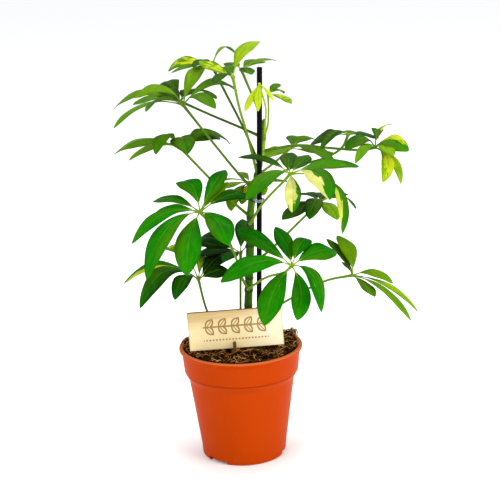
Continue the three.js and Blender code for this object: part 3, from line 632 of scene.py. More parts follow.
# One leaflet. Its midrib runs from the hub to the tip and rises off that line, and swings aside, by the
# parabola 4 t (1 - t); the half width is sin(pi s^taper)^blunt along the blade; across it the surface rises
# from the midrib, falls to the edges and waves a little. The underside is the same surface moved in by the
# thickness. The bare stalk is a tube on the same midrib.
def leafletParts(leaf, leaflet, rank, random):
    dx, dy, dz, width, look, *own = leaflet
    usual = [leaf.get("arch", blade["arch"]) * (1 + blade["overlap"] * (1 if rank % 2 else -1)),
             random.uniform(-1, 1) * blade["sickle"], 0, blade["stalk"]]
    arch, sickle, roll, bare = (value if mine is None else mine
                                for mine, value in zip(own + [None] * 4, usual))
    tone, golden, side, pale = looks[look]
    hub, reach = np.array(leaf["line"][-1], float), np.array((dx, dy, dz), float)
    length = np.linalg.norm(reach)
    forward = reach / length
    face = np.array(leaf["face"], float)
    level = unit(face - (face @ forward) * forward)
    angle = math.radians(roll)
    up = level * math.cos(angle) + np.cross(forward, level) * math.sin(angle)
    flank = np.cross(up, forward)
    bend = (up * arch + flank * sickle) * length

    def midrib(t):
        t = t[..., None]
        return hub + reach * t + bend * 4 * t * (1 - t)

    s = 0.5 - 0.5 * np.cos(np.pi * np.linspace(0, 1, blade["rows"]))
    line = midrib(bare + s * (1 - bare))
    tangent = unit(np.gradient(line, axis=0))
    across = unit(flank - (tangent @ flank)[:, None] * tangent)
    outward = np.cross(tangent, across)
    outward = np.where((outward @ up)[:, None] < 0, -outward, outward)
    share = np.maximum(blade["tip"], np.sin(np.pi * s ** blade["taper"]).clip(0) ** blade["blunt"])
    half = 0.5 * width * share
    v = blade["across"]
    phase = random.uniform(0, 2 * np.pi, 2)
    wave = np.sin(2 * np.pi * blade["waves"] * s[:, None] + np.where(v > 0, *phase)) * blade["wave"]
    rise = blade["channel"] * np.abs(v) - blade["edgeDroop"] * v ** 2 + wave * v ** 2
    height = width * share[:, None] * rise
    offCentre = v * half[:, None]
    ribFade = (1 - s)[:, None] ** 0.5
    groove = blade["groove"] * np.exp(-(offCentre / blade["grooveWide"]) ** 2) * ribFade
    ridge = blade["rib"] * np.exp(-(offCentre / blade["ribWide"]) ** 2) * ribFade
    thick = blade["edgeThick"] + (blade["thick"] - blade["edgeThick"]) * (1 - v ** 2)
    middle = line[:, None] + across[:, None] * offCentre[..., None]
    top = middle + outward[:, None] * (height - groove)[..., None]
    bottom = middle + outward[:, None] * (height - thick - ridge)[..., None]
    rows, columns = len(s), len(v)
    count, spread = rows * columns, blade["toneSpread"]
    index = np.arange(count).reshape(rows, columns)
    border = np.concatenate([index[0, :-1], index[:-1, -1], index[-1, :0:-1], index[:0:-1, 0]])
    following = np.roll(border, -1)
    rim = np.stack([border, following, following + count, border + count], -1)
    faces = gridFaces(rows, columns)
    shell = solid(
        np.concatenate([top.reshape(-1, 3), bottom.reshape(-1, 3)]),
        np.concatenate([faces, faces[:, ::-1] + count, rim[:, ::-1]]),
        along=np.tile(np.repeat(s, columns), 2), across=np.tile(v, rows * 2),
        under=np.repeat([0.0, 1.0], count), wide=np.tile(np.repeat(half, columns), 2),
        tone=tone + random.uniform(-spread, spread), olive=leaf.get("olive", blade["olive"]),
        golden=golden, side=side, pale=pale, seed=random.uniform(0, 1))
    t = np.linspace(0, bare + blade["stalkOn"], blade["stalkSteps"])
    radii = blade["stalkRadius"] * (1 + 0.9 * np.exp(-t * 60) - 0.45 * t / t[-1])
    if leaf.get("young"):
        radii = radii * blade["stalkYoung"]
    path = midrib(t) - up * blade["stalkDrop"]
    stalkTone = leaf["stalk"] + blade["stalkTone"]
    return shell, tubes(path[None], radii[None], blade["stalkSides"], tone=stalkTone)


# the petiole's tube, thick at its foot and under the hub, and a lathed knob at the hub
def petioleParts(leaf):
    start, *bends, hub = leaf["line"]
    foot = stemPlaceAt(start) if np.isscalar(start) else np.array(start, float)
    line = smoothLine([foot, *bends, hub], petiole["steps"])
    radius, footRadius, size = (petiole[key] for key in (
        ("youngRadius", "youngFoot", "youngHub") if leaf.get("young") else ("radius", "foot", "hub")))
    t = np.linspace(0, 1, petiole["steps"])
    radii = radius + (footRadius - radius) * np.exp(-petiole["footFade"] * t)
    radii = radii + petiole["swell"] * np.exp(-petiole["swellFade"] * (1 - t))
    tube = tubes(line[None], radii[None], petiole["sides"], tone=leaf["stalk"])
    turn = np.linspace(-np.pi / 2, np.pi / 2, petiole["hubSteps"])
    profile = np.stack([size * np.cos(turn), petiole["hubFlat"] * size * np.sin(turn)], -1)
    knob = lathe(profile, petiole["hubSides"])
    knob["points"] = knob["points"] + np.array(hub, float)
    knob["traits"] = {"along": 1.0, "tone": leaf["stalk"] + 0.1}
    return tube, knob


def makeLeaf(node, leaf, seed):
    random = np.random.default_rng(seed)
    ranks = np.argsort(np.argsort([math.atan2(leaflet[1], leaflet[0]) for leaflet in leaf["leaflets"]]))
    shells, stalks = zip(*[
        leafletParts(leaf, leaflet, rank, random) for leaflet, rank in zip(leaf["leaflets"], ranks)])
    blades, rods = joined(shells), joined([*stalks, *petioleParts(leaf)])
    isRod = np.concatenate([np.full(len(part[kind]), part is rods)
                            for kind in ("quads", "tris") for part in (blades, rods)])
    first, *others = node.split("_")[1:]
    name = first + "".join(word.capitalize() for word in others) + "Leaf"
    makePiece(name, joined([blades, rods]), [leafBlade, leafStalk], node, sharp=50, faceSlots=isRod)


for number, (node, leaf) in enumerate(leaves.items()):
    makeLeaf(node, leaf, 100 + number)
print("leaves made:", len(leaves))


def stemFinish():
    f = Finish("stemSkin")
    place = f.place()
    streaks = f.noise(f.upright(place, 0.12), 420.0, 4.0, 0.6)
    spots = f.smooth(f.noise(place, 900.0, 2.0), 0.66, 0.74)
    # painted light: the side of the stem that faces the lamps is lighter
    shade = (streaks * 0.4 + f.smooth(f.axis("Z"), 0.20, 0.34) * 0.45 + f.trait("sunny") * 0.24
             + f.trait("scar") * -0.3)
    colour = f.mix(spots * 0.4, f.ramp(shade, stem["skin"]), stem["spots"])
    return f.skin(colour, 0.45, 0.1, (streaks + spots * 0.4, 0.0004, 0.6))


# the frame's own stem, swollen where each petiole leaves it, with a ring-shaped scar between them
def makeStem():
    heights, line, sides = stemLine[:, 2], np.array(stem["line"]), stem["sides"]
    starts = [leaf["line"][0] for leaf in leaves.values()]
    scars = np.array(sorted([start for start in starts if np.isscalar(start)] + stem["oldScars"]))
    near = np.exp(-((heights[:, None] - scars) / stem["scarTall"]) ** 2).max(1)
    radii = np.interp(heights, line[:, 2], line[:, 3])
    radii = radii + stem["scar"] * near + stem["lump"] * ripple(stemLine, stem["lumpLong"], seed=4)
    part = tubes(stemLine[None], radii[None], sides)
    # painted light: the side that faces right and forward, towards the lamps, is painted the greener
    outward = part["points"][:-2].reshape(len(stemLine), sides, 3) - stemLine[:, None]
    sunny = (outward @ np.array(stem["sunny"])) / radii[:, None]
    part["traits"]["scar"] = np.concatenate([np.repeat(near, sides), [0, 0]])
    part["traits"]["sunny"] = np.concatenate([sunny.ravel(), [0, 0]])
    makePiece("mainStem", part, [stemFinish()], "main_stem", sharp=60)


makeStem()
print("stem made")


stake = {"foot": (14.9, -4, 20), "top": (26.8, -4, 379.3), "radius": 2.5, "chamfer": 0.5, "sides": 32,
         "steps": 60, "uneven": 0.05, "unevenLong": 60.0,
         "black": rgb(0.001, 0.0012, 0.002), "dust": rgb(0.012, 0.012, 0.012)}
tie = {"height": 254, "inner": 4.2, "thick": 0.8, "tall": 3.0, "steps": 72, "sides": 12,
       "clear": (rgb(0.30, 0.38, 0.40), rgb(0.52, 0.60, 0.62))}
stakeFoot, stakeTop = np.array(stake["foot"], float), np.array(stake["top"], float)


def stakeFinish():
    f = Finish("stakePlastic")
    place = f.place()
    ribs = f.noise(f.upright(place, 0.05), 700.0, 2.0)
    dust = f.smooth(f.noise(place, 160.0, 4.0, 0.65), 0.55, 0.8)
    colour = f.mix(dust * 0.25, stake["black"], stake["dust"])
    return f.skin(colour, 0.38 + dust * 0.3, 0.06, (ribs, 0.0003, 0.5))


def makeStake():
    radius, chamfer = stake["radius"], stake["chamfer"]
    share = np.concatenate([np.linspace(0, 1, stake["steps"]), [1, 1]])
    path = stakeFoot + (stakeTop - stakeFoot) * share[:, None]
    path[-3:-1] -= np.outer([1, 0.3], unit(stakeTop - stakeFoot) * chamfer)
    radii = radius + stake["uneven"] * ripple(path, stake["unevenLong"], seed=8)
    radii[-2:] = radius - 0.15, radius - chamfer
    makePiece("stakeRod", tubes(path[None], radii[None], stake["sides"]), [stakeFinish()], "stake", sharp=50)


def tieFinish():
    f = Finish("tiePlastic")
    colour = f.mix(f.noise(f.place(), 900.0, 2.0), *tie["clear"])
    return f.skin(colour, 0.18, Coat_Weight=0.3, Transmission_Weight=0.6, IOR=1.45)


# a flat band whose middle line is a ring round the stem and the stake, drawn tight between them: a circle
# cut in two and pulled apart, with the section |cos|^0.5 by |sin|^0.5, which is a rounded oblong
def makeTie():
    centre, steps = stemPlaceAt(tie["height"]), tie["steps"]
    share = (tie["height"] - stakeFoot[2]) / (stakeTop[2] - stakeFoot[2])
    there = stakeFoot + (stakeTop - stakeFoot) * share
    middle, half = (centre + there) / 2, np.linalg.norm((there - centre)[:2]) / 2
    ahead = unit(np.append((there - centre)[:2], 0))
    aside = np.array([-ahead[1], ahead[0], 0])
    turn, around = fullTurn(steps), fullTurn(tie["sides"])
    outward = np.outer(np.cos(turn), ahead) + np.outer(np.sin(turn), aside)
    line = middle + (tie["inner"] + tie["thick"] / 2) * outward
    line = line + np.outer(half * np.clip(3 * np.cos(turn), -1, 1), ahead)

    def oblong(values, size):
        return np.sign(values) * np.abs(values) ** 0.5 * size / 2

    flat, tall = oblong(np.cos(around), tie["thick"]), oblong(np.sin(around), tie["tall"])
    band = line[:, None] + outward[:, None] * flat[:, None] + np.array([0, 0, 1.0]) * tall[:, None]
    part = solid(band.reshape(-1, 3), gridFaces(steps, tie["sides"], True, True))
    makePiece("tieBand", part, [tieFinish()], "tie", sharp=60)


makeStake()
makeTie()
print("stake and tie made")


pot = {
    "height": 110.4, "rim": 60, "lip": 3, "lipFillet": 3, "collarTop": 57.4, "collarBottom": 55.6,
    "collarFoot": 85.8, "undercut": 0.9, "bodyTopRadius": 51.2, "bodyTop": 77.2, "foot": 39, "flare": 1.5,
    "wall": 1.4, "floor": 4.6, "underside": 3, "footRing": 2.6, "pad": 8, "sides": 176,
    "footRound": 2.1, "collarRound": 0.4, "underLipRound": 0.7, "lipRound": 1.2, "mouthRound": 0.8,
    "holes": 6, "holeRadius": 3.2, "holeCircle": 24,
    "notches": 3, "firstNotch": 230, "notchWide": 21.5, "notchTall": 3.3, "notchDeep": 12,
    "stepWide": 5.5, "stepTall": 4.4, "stepOut": 3,
    "terracotta": (rgb(0.390, 0.033, 0.0002), rgb(0.470, 0.051, 0.0002)), "scuffs": rgb(0.72, 0.20, 0.06),
    # the last colour here is a painted highlight along the top of the lip
    "dust": rgb(0.30, 0.12, 0.05), "shade": rgb(0.16, 0.012, 0.0005), "worn": rgb(0.78, 0.28, 0.10),
}


def potFinish():
    f = Finish("potPlastic")
    place, height = f.place(), f.axis("Z")

    def fade(start, end):  # from 0 to 1 between two heights in mm
        return f.smooth(height, start * mm, end * mm)

    edge, lip = pot["collarFoot"], pot["height"]
    cloud = f.noise(place, 14.0)
    swirl = f.noise(f.upright(place, 0.35), 55.0, 4.0, 0.6)
    scuffs = f.smooth(f.noise(f.upright(place, 0.08), 520.0), 0.64, 0.75)
    dust = f.smooth(f.noise(place, 210.0, 4.0, 0.7), 0.60, 0.78) * fade(20, 1)
    # painted shadow: a dark band just under the collar's overhanging edge, in the shade colour
    under = fade(edge - 1.7, edge - 0.3) * fade(edge + 0.9, edge + 0.3)
    # painted highlight: a paler band along the top of the lip
    worn = fade(lip - 1.6, lip - 0.3)
    colour = f.coats(f.mix(cloud * 0.55 + swirl * 0.35, *pot["terracotta"]), (scuffs * 0.08, pot["scuffs"]),
                     (dust * 0.45, pot["dust"]), (under * 0.55, pot["shade"]), (worn * 0.36, pot["worn"]))
    relief = f.noise(place, 1700.0) * 0.6 + swirl * 2.0 + scuffs * 0.3
    rough = 0.36 + swirl * 0.10 + scuffs * 0.12 + dust * 0.2
    return f.skin(colour, rough, 0.025, (relief, 0.0003, 0.28))


# points of an arc about a centre, in degrees
def arc(radius, height, size, start, end, count=5):
    turn = np.radians(np.linspace(start, end, count))
    return list(zip(radius + size * np.cos(turn), height + size * np.sin(turn)))


# points between two places, whose height goes evenly and whose radius goes by a rule from 0 to 1
def slope(low, high, shares, rule=lambda u: u):
    return [(low[0] + (high[0] - low[0]) * rule(u), low[1] + (high[1] - low[1]) * u) for u in shares]


# the body's cone swells by a smooth step into a shoulder under the collar's overhanging edge, and the
# collar's cone runs by a hollow curve, u^2, into the underside of the lip
def potProfile():
    p = pot
    top, wall, foot, collarFoot, collar = (
        p[key] for key in ("height", "wall", "foot", "collarFoot", "collarBottom"))
    lipFoot, footRadius, shoulder = top - p["lip"], foot + p["flare"], collar - p["undercut"]
    ring, inner, floor = foot - p["footRing"], p["collarTop"] - wall, footRadius - wall
    bodyTop, collarTop = (p["bodyTopRadius"], p["bodyTop"]), (p["collarTop"], lipFoot - p["lipFillet"])
    footRound, edge, under, lip, mouth = (
        p[key + "Round"] for key in ("foot", "collar", "underLip", "lip", "mouth"))
    return [
        (0, 0), (p["pad"], 0), (p["pad"], p["underside"]), (ring, p["underside"]), (ring, 0.2),
        (ring + 0.2, 0), (foot, 0), *arc(footRadius - 1.6, footRound, footRound, -75, 0),
        *slope((footRadius, footRound), bodyTop, np.arange(1, 8) / 8),
        *slope(bodyTop, (shoulder, collarFoot - 0.3), np.linspace(0, 1, 9), lambda u: (3 - 2 * u) * u * u),
        (shoulder + 0.1, collarFoot), (collar - edge, collarFoot),
        *arc(collar - edge, collarFoot + edge, edge, -60, 0, 3),
        *slope((collar, collarFoot), collarTop, (0.25, 0.5, 0.75)),
        *slope(collarTop, (p["rim"] - 0.6, lipFoot), np.linspace(0, 1, 6), lambda u: u * u),
        *arc(p["rim"] - under, lipFoot + under, under, -45, 0, 3),
        *arc(p["rim"] - lip, top - lip, lip, 0, 90, 6),
        (inner + 0.9, top), *arc(inner + mouth, top - mouth, mouth, 100, 180, 4), (inner, lipFoot),
        (collar - wall, collarFoot), (p["bodyTopRadius"] - wall, p["bodyTop"]),
        (floor + 0.4, p["floor"] + 2), (floor - 1.2, p["floor"]), (0, p["floor"]),
    ]


def box(size, place, turn):
    corner = np.array([(a, b, c) for a in (-0.5, 0.5) for b in (-0.5, 0.5) for c in (-0.5, 0.5)])
    x, y, z = (corner * size + place).T
    quads = np.array([(0, 1, 3, 2), (4, 6, 7, 5), (0, 4, 5, 1), (2, 3, 7, 6), (0, 2, 6, 4), (1, 5, 7, 3)])
    return solid(np.stack([*turned(x, y, turn), z], -1), quads)


# takes the cutters out of a piece with a Boolean that is applied at once
def cutAway(piece, cutters, sharp):
    tools = [makePiece("cutter", cutter, []) for cutter in cutters]
    for tool in tools:
        cut = piece.modifiers.new("cut", "BOOLEAN")
        cut.object, cut.operation, cut.solver = tool, "DIFFERENCE", "EXACT"
    bpy.context.view_layer.update()
    result = bpy.data.meshes.new_from_object(piece.evaluated_get(bpy.context.evaluated_depsgraph_get()))
    piece.modifiers.clear()
    piece.data = result
    result.set_sharp_from_angle(angle=math.radians(sharp))
    for tool in tools:
        bpy.data.objects.remove(tool)


def makePot():
    p = pot
    piece = makePiece("potShell", lathe(potProfile(), p["sides"]), [potFinish()], "pot", sharp=35)
    radius, top, circle = p["holeRadius"], p["floor"] + 1, p["holeCircle"]
    cutters, steps = [], []
    for k in range(p["holes"]):
        turn = 2 * math.pi * k / p["holes"]
        post = lathe([(0, -1), (radius, -1), (radius, top), (0, top)], 32)
        post["points"] = post["points"] + (circle * math.cos(turn), circle * math.sin(turn), 0)
        cutters.append(post)
    for k in range(p["notches"]):
        turn = math.radians(p["firstNotch"] + 360 / p["notches"] * k)
        cutters.append(box((p["notchDeep"], p["notchWide"], 2 * p["notchTall"]), (p["foot"], 0, 0), turn))
        stepPlace = (p["foot"] + p["stepOut"], (p["stepWide"] - p["notchWide"]) / 2, 0)
        steps.append(box((p["notchDeep"], p["stepWide"], 2 * p["stepTall"]), stepPlace, turn))
    cutAway(piece, [joined(cutters), joined(steps)], 35)


makePot()
print("pot made")


soil = {
    "edge": 109.3, "crown": 3.5, "heapBehind": 3.5, "heapTurn": 0.5, "lump": 1.3, "wallGap": 0.35,
    "overFloor": 0.3, "rings": 80, "sides": 220, "roughness": 2.1, "reach": 54.6,
    "coarse": (9.0, 0.8), "fine": (4.0, 0.6),  # size in mm, and share of the roughness
    "crumbs": 1500, "crumbSize": (0.5, 1.7), "crumbWide": (0.5, 1), "crumbFlat": (0.45, 0.9),
    "chips": 160, "chipSize": (1.6, 3.4), "chipFlat": 0.22,
    "dent": 0.28, "tip": 0.12,
    "fibres": 1900, "fibreSteps": 9, "fibreLong": (5, 19), "fibreThick": (0.09, 0.27),
    "fibreRise": (0.2, 2.6), "fibreCurl": 1.6, "wiggle": 0.5, "tuftLong": (4, 11),
    # where fibres stand up in a tuft: its middle, its spread, how many, how high they bow
    "tufts": [((50, 22), (3.4, 2.6), 120, (2.5, 7.0)), ((-51, 6), (2, 5), 80, (1.5, 3.5))],
    "stray": 3.5,  # how far a tuft's fibres may reach over the pot's edge
    "compost": [(0.44, 0.0005, 0.0003, 0.0001), (0.56, 0.004, 0.0012, 0.0002), (0.70, 0.022, 0.007, 0.001),
                (0.86, 0.090, 0.032, 0.004)],
    "coir": [(0.00, 0.002, 0.001, 0.0003), (0.40, 0.020, 0.006, 0.001), (0.62, 0.165, 0.045, 0.004),
             (0.80, 0.520, 0.185, 0.020), (1.00, 0.95, 0.56, 0.20)],
}


# a dome with a heap behind and lumps from three sine waves
def soilHeight(x, y):
    radius, turn = np.hypot(x, y), np.arctan2(y, x)
    reach = radius / (pot["collarTop"] - pot["wall"])
    heap = soil["heapBehind"] * np.maximum(0, np.sin(turn - soil["heapTurn"])) * reach
    lumps = np.sin(3 * turn + radius / 6) + np.sin(7 * turn - radius / 4) + np.sin(11 * turn + 1)
    height = soil["edge"] + soil["crown"] * (1 - reach ** 2) + heap
    return height + soil["lump"] / 2 * lumps * np.minimum(1, radius / 20)


def soilFinish():
    f = Finish("compost")
    # the noise that lowers the surface also darkens it: partly the compost's own dark grains, partly painted
    # shade in the hollows
    crumb = f.noise(f.place(), 420.0, 5.0, 0.7)
    colour = f.ramp(crumb * 0.7 + f.noise(f.place(), 60.0) * 0.3, soil["compost"])
    return f.skin(colour, 0.92, 0.05, (crumb, 0.0012, 1.0))


def coirFinish():
    f = Finish("coir")
    shade = f.trait("shade") + (f.noise(f.place(), 500.0) - 0.5) * 0.3
    return f.skin(f.ramp(shade, soil["coir"]), 0.7, 0.05)


# a disc of rings whose height is the frame's soil height with finer unevenness, over a plain plug
def makeSoil():
    wall = lambda radius: radius - pot["wall"] - soil["wallGap"]
    edge, low, sides = wall(pot["collarTop"]), pot["floor"] + soil["overFloor"], soil["sides"]
    radii = edge * np.linspace(1, 0, soil["rings"] + 1)[:-1] ** 0.8
    top = ringsAt(radii, 0.0, sides)
    inward = np.minimum(1, (edge - radii)[:, None] / 4)
    (coarse, coarseHigh), (fine, fineHigh) = soil["coarse"], soil["fine"]
    rough = soil["roughness"] * (
        coarseHigh * ripple(top, coarse, seed=2) + fineHigh * ripple(top, fine, 14, seed=3))
    height = soilHeight(top[..., 0], top[..., 1])
    top[..., 2] = height + rough * (0.35 + 0.65 * inward) - 0.5 * (1 - inward) ** 2
    plug = np.array([(wall(pot["foot"] + pot["flare"]), low), (wall(pot["bodyTopRadius"]), pot["bodyTop"]),
                     (wall(pot["collarBottom"]), pot["collarFoot"]), (edge, pot["height"] - pot["lip"])])
    rings = np.concatenate([ringsAt(plug[:, 0], plug[:, 1:], sides), top])
    makePiece("soilBody", closedRings(rings, low, top[-1, :, 2].mean()), [soilFinish()], "soil", sharp=80)


# seeded places on the soil, even over its disc
def soilPlaces(count, random):
    radius = soil["reach"] * np.sqrt(random.uniform(0.01, 1, count))
    turn = random.uniform(0, 2 * np.pi, count)
    x, y = radius * np.cos(turn), radius * np.sin(turn)
    return np.stack([x, y, soilHeight(x, y)], -1)


# uneven lumps: a small ball of rings, squashed, tipped and turned at random, half sunk
def makeCrumbs():
    random = np.random.default_rng(21)
    count = soil["crumbs"] + soil["chips"]
    places = soilPlaces(count, random)
    ball = lathe([(0, -1), (0.75, -0.65), (1, 0), (0.75, 0.65), (0, 1)], 7)
    corners = len(ball["points"])
    isChip = np.arange(count) >= soil["crumbs"]
    size = np.where(isChip, random.uniform(*soil["chipSize"], count),
                    random.uniform(*soil["crumbSize"], count) ** 1.2)
    squash = np.stack([np.ones(count), random.uniform(*soil["crumbWide"], count),
                       random.uniform(*soil["crumbFlat"], count)], -1)
    squash[isChip, 2] = soil["chipFlat"]
    dents = 1 + soil["dent"] * random.normal(size=(count, corners, 1)).clip(-1.5, 1.5)
    x, y, z = np.moveaxis(ball["points"] * dents * (size[:, None] * squash)[:, None], -1, 0)
    turn, tip = (random.uniform(0, 2 * np.pi, (2, count)) * [[1], [soil["tip"]]])[..., None]
    x, z = turned(x, z, -tip)
    points = np.stack([*turned(x, y, turn), z], -1)
    part = repeated(points + places[:, None], ball)
    part["traits"]["shade"] = np.repeat(random.uniform(0, 0.5, count) ** 1.3, corners)
    makePiece("soilCrumbs", part, [coir], sharp=60)


# fibres: short lines that lie on the soil, bow upwards and curl sideways, each along a random heading
def makeFibres():
    random = np.random.default_rng(33)
    count = soil["fibres"]
    places = soilPlaces(count, random)
    heading = random.uniform(0, 2 * np.pi, count)[:, None]
    length = random.uniform(*soil["fibreLong"], count)
    curl = random.normal(size=count)[:, None] * soil["fibreCurl"]
    rise = random.uniform(*soil["fibreRise"], count)
    start = 0
    for middle, spread, number, bows in soil["tufts"]:
        tuft = slice(start, start + number)
        places[tuft, :2] = random.normal(size=(number, 2)) * spread + middle
        length[tuft] = random.uniform(*soil["tuftLong"], number)
        rise[tuft] = random.uniform(*bows, number)
        start += number
    s = np.linspace(-0.5, 0.5, soil["fibreSteps"])
    bearing = heading + curl * s
    run = length[:, None] * s
    x, y = places[:, :1] + run * np.cos(bearing), places[:, 1:2] + run * np.sin(bearing)
    reach = np.hypot(x, y)
    stray = np.where(np.arange(count) < start, soil["stray"], 0.0)[:, None]
    keep = np.minimum(1, (soil["reach"] + 0.8 + stray) / np.maximum(reach, 1e-6))
    x, y = x * keep, y * keep
    wiggle = soil["wiggle"] * np.sin(run * 0.9 + heading * 5)
    ground = np.maximum(soilHeight(x, y), np.where(reach > soil["reach"], pot["height"], 0))
    z = ground + rise[:, None] * (0.25 - s ** 2) * 4 + 0.5 + wiggle * 0.5
    paths = np.stack([x + wiggle * np.sin(bearing) * 0.8, y - wiggle * np.cos(bearing) * 0.8, z], -1)
    radii = random.uniform(*soil["fibreThick"], count)[:, None] * (1.15 - 1.6 * np.abs(s))
    shade = np.clip(random.beta(0.9, 1.15, count) * 1.1, 0, 1)
    makePiece("soilFibres", tubes(paths, radii, 4, shade=shade), [coir])


coir = coirFinish()
makeSoil()
makeCrumbs()
makeFibres()
print("soil made")


sign = {
    "centre": (-4, -26, 135), "tilt": 2.5, "width": 90, "tall": 38, "thick": 3,
    "pegAt": -2, "pegDeep": 12, "pegLong": 52, "pegRise": 6.8, "pegTaper": 8, "pegTip": 1.5,
    "lap": 3.6, "gap": 0.3, "bevel": 0.22,
    # pale is painted light on the plate's right side, and the first colour on the next line painted shade at
    # its top left
    "wood": (rgb(0.740, 0.560, 0.270), rgb(0.860, 0.740, 0.450)), "pale": rgb(0.86, 0.75, 0.52),
    "topShade": rgb(0.48, 0.30, 0.11), "pores": rgb(0.58, 0.36, 0.14), "scorch": rgb(0.36, 0.17, 0.06),
    "burn": rgb(0.250, 0.118, 0.020), "soot": (rgb(0.030, 0.012, 0.006), rgb(0.170, 0.075, 0.028)),
}
motif = {"leafCell": 12.4, "rowAt": 3.6, "lean": 0.9, "leafLong": 7.4, "leafWide": 2.9, "line": 1.1,
         "halfRow": 31.0, "underAt": -9.6, "dotCell": 3.1, "dot": 0.85}


# a sprig of outlined leaves in a row over a line of dots: within each cell of the row the place is
# turned by the lean, and a leaf's edge is where |b| + wide (a / long)^2 comes to wide
def signMotif(f, across, upward):
    m = motif

    def withinCell(size):  # how far the place is from the middle of its own cell
        return (f.math("FRACT", across / size + 100.5) - 0.5) * size

    def line(distance, thick=m["line"]):
        return f.smooth(distance, thick, thick * 0.5)

    height = upward - m["rowAt"]
    x, y = withinCell(m["leafCell"]), abs(height) - 0.45 * m["leafLong"]
    a, b = turned(x, y, -m["lean"])
    leaf = m["leafWide"] - abs(b) - a * a * (m["leafWide"] / m["leafLong"] ** 2 * 1.9)
    vein = f.smooth(abs(b), m["line"] * 0.55, m["line"] * 0.25) * f.smooth(leaf, 0.0, 0.2)
    fromDot = (withinCell(m["dotCell"]) ** 2 + (upward - m["underAt"]) ** 2) ** 0.5
    dots = f.smooth(fromDot, m["dot"] + 0.12, m["dot"] - 0.12)
    drawn = f.math("MAXIMUM", f.math("MAXIMUM", line(abs(leaf)), vein),
                   f.math("MAXIMUM", line(abs(height)), dots))
    return drawn * f.smooth(abs(across), m["halfRow"] + 0.05, m["halfRow"] - 0.05)


# plain wood with a scorched outline and the motif on its front, or the burnt edge that a laser leaves
def plywoodFinish(name, burnt):
    f = Finish(name)
    if burnt:
        soot = f.noise(f.place(), 600.0, 4.0, 0.6)
        return f.skin(f.mix(soot, *sign["soot"]), 0.62, 0.05, (soot, 0.0003, 0.5))
    across, upward = f.trait("signX"), f.trait("signZ")
    grainPlace = f.vector(across * 0.045, upward, 0.0)
    grain, figure = f.noise(grainPlace, 2.6, 5.0, 0.62), f.noise(grainPlace, 0.55)
    pores = f.smooth(f.noise(grainPlace, 9.0, 2.0), 0.62, 0.72)
    # painted light and shade: paler towards the right, as if lit from there, and darker towards the top left
    pale = f.smooth(across + figure * 20.0, 8.0, 50.0)
    paintedTopShade = f.smooth(upward + figure * 14.0 - across * 0.12, 12.0, 27.0)
    fromEdge = f.math("MINIMUM", sign["width"] / 2 - abs(across), sign["tall"] / 2 - abs(upward))
    front = (sign["centre"][1] - sign["thick"] / 4) * mm
    mark = signMotif(f, across, upward) * f.smooth(f.axis("Y"), front, front - 0.2 * mm)
    scorch = f.smooth(fromEdge, 1.3, 0.0)
    colour = f.coats(f.mix(grain * 0.45 + figure * 0.45, *sign["wood"]), (pale, sign["pale"]),
                     (paintedTopShade * 0.7, sign["topShade"]), (pores * 0.25, sign["pores"]),
                     (scorch * 0.55, sign["scorch"]), (mark * 0.85, sign["burn"]))
    relief = grain * 0.25 - mark * 1.2 - pores * 0.3
    return f.skin(colour, 0.62, 0.05, (relief, 0.0003, 0.5))


# an outline in the sign's own plane, or square to it, pushed from low to high through its thickness and
# tilted: side walls and two flat faces
def makeBoard(name, outline, at, square, node):
    outline, count = np.array(outline, float), len(outline)
    low, high = (np.full(count, at + sign["thick"] / 2 * way) for way in (-1, 1))
    layers = [[depth, outline[:, 0], outline[:, 1]] if square else [outline[:, 0], depth, outline[:, 1]]
              for depth in (low, high)]
    x, y, z = np.concatenate([np.stack(layer, -1) for layer in layers]).T
    across, upward = turned(x, z, math.radians(sign["tilt"]))
    points = np.stack([across, y, upward], -1) + sign["centre"]
    k = np.arange(count)
    walls = np.stack([k, (k + 1) % count, (k + 1) % count + count, k + count], -1)
    mesh = bpy.data.meshes.new(name)
    mesh.from_pydata((points * mm).tolist(), [], [*walls.tolist(), k[::-1].tolist(), (k + count).tolist()])
    setTraits(mesh, {"signX": x, "signZ": z})
    mesh.polygons.foreach_set("material_index", np.array([1] * count + [0, 0], np.int32))
    mesh.materials.append(plainWood)
    mesh.materials.append(burntWood)
    bevel = dressed(name, mesh, node).modifiers.new("worn edges", "BEVEL")
    bevel.width, bevel.segments, bevel.limit_method = sign["bevel"] * mm, 2, "ANGLE"


def makeSign():
    s = sign
    w, h, half = s["width"] / 2, s["tall"] / 2, s["thick"] / 2 + s["gap"]
    left, right, lapTop = s["pegAt"] - half, s["pegAt"] + half, -h + s["lap"]
    plate = [(-w, -h), (left, -h), (left, lapTop), (right, lapTop), (right, -h), (w, -h), (w, h), (-w, h)]
    makeBoard("signPlate", plate, 0, False, "sign_plate")
    d, tip, top, notch = s["pegDeep"] / 2, s["pegTip"], -h + s["pegRise"], lapTop - s["gap"]
    floor = top - s["pegLong"]
    shoulder = floor + s["pegTaper"]
    peg = [(-d, shoulder), (-tip, floor), (tip, floor), (d, shoulder), (d, top), (half, top), (half, notch),
           (-half, notch), (-half, top), (-d, top)]
    makeBoard("signPeg", peg, s["pegAt"], True, "sign_peg")


plainWood, burntWood = plywoodFinish("plywood", False), plywoodFinish("plywoodEdge", True)
makeSign()
print("sign made")


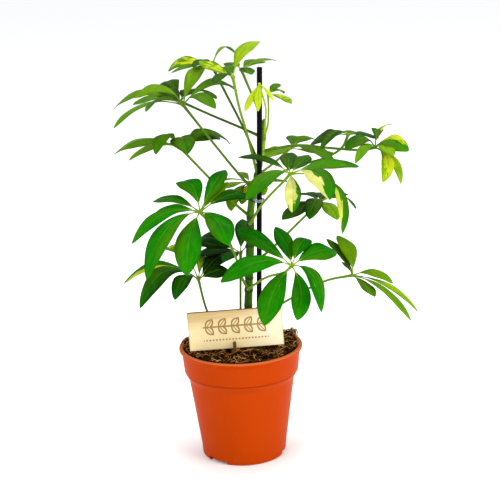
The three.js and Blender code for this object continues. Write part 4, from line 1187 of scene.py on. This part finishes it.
studio = {
    "floorRadius": 9.0, "floorSides": 96,
    "floorColour": rgb(0.915, 0.915, 0.915), "floorTint": rgb(0.90, 0.905, 0.93),
    "seen": rgb(0.98, 0.98, 0.98),  # what the camera sees beyond the floor
    "fill": 0.64, "fillColour": rgb(0.97, 0.985, 1.0),  # the light from all round
    "glow": 0.42, "glowFrom": 0.0, "glowFull": 0.17,  # of the floor, far from the pot
    # place, what it faces, size, power in watts, colour
    "lamps": {
        "windowLeft": ((-1.5, -1.3, 1.5), (0, 0, 0.2), 1.5, 23, (1.0, 0.99, 0.97)),
        "windowRight": ((1.6, -1.0, 1.1), (0, 0, 0.2), 1.3, 33, (1.0, 0.98, 0.95)),
        "above": ((0.1, 0.5, 2.1), (0, 0, 0.2), 1.4, 22, (0.98, 0.99, 1.0)),
    },
}


def makeFloor():
    f = Finish("paper")
    colour = f.mix(f.noise(f.place(), 1.2, 2.0) * 0.25, studio["floorColour"], studio["floorTint"])
    distance = f.node("ShaderNodeVectorMath", {"operation": "LENGTH"}, {0: f.place()}, output=1)
    away = f.smooth(distance, studio["glowFrom"], studio["glowFull"])
    glow = f.mix(away, rgb(0, 0, 0), studio["floorColour"])
    paper = f.skin(colour, 0.8, 0.1, Emission_Color=glow, Emission_Strength=studio["glow"])
    sides = studio["floorSides"]
    ring = ringsAt([studio["floorRadius"]], 0.0, sides)[0]
    mesh = bpy.data.meshes.new("studioFloor")
    mesh.from_pydata(ring.tolist(), [], [list(range(sides))])
    mesh.materials.append(paper)
    sheet = placed("studioFloor", mesh)


def makeLight():
    for name, (place, towards, size, power, colour) in studio["lamps"].items():
        data = bpy.data.lights.new(name, "AREA")
        data.size, data.energy, data.color = size, power, colour
        lamp = placed(name, data)
        lamp.location = place
        lamp.rotation_euler = (Vector(towards) - Vector(place)).to_track_quat("-Z", "Y").to_euler()
    f = Finish("studio", "World")
    seen = f.node("ShaderNodeBackground", values={"Color": studio["seen"]})
    fill = {"Color": studio["fillColour"], "Strength": studio["fill"]}
    fill = f.node("ShaderNodeBackground", values=fill)
    ray = f.node("ShaderNodeLightPath", output="Is Camera Ray")
    bpy.context.scene.world = f.done(f.node("ShaderNodeMixShader", values={0: ray, 1: fill, 2: seen}))
    bpy.context.scene.view_settings.view_transform = "Standard"
    bpy.context.scene.view_settings.look = "None"


makeFloor()
makeLight()
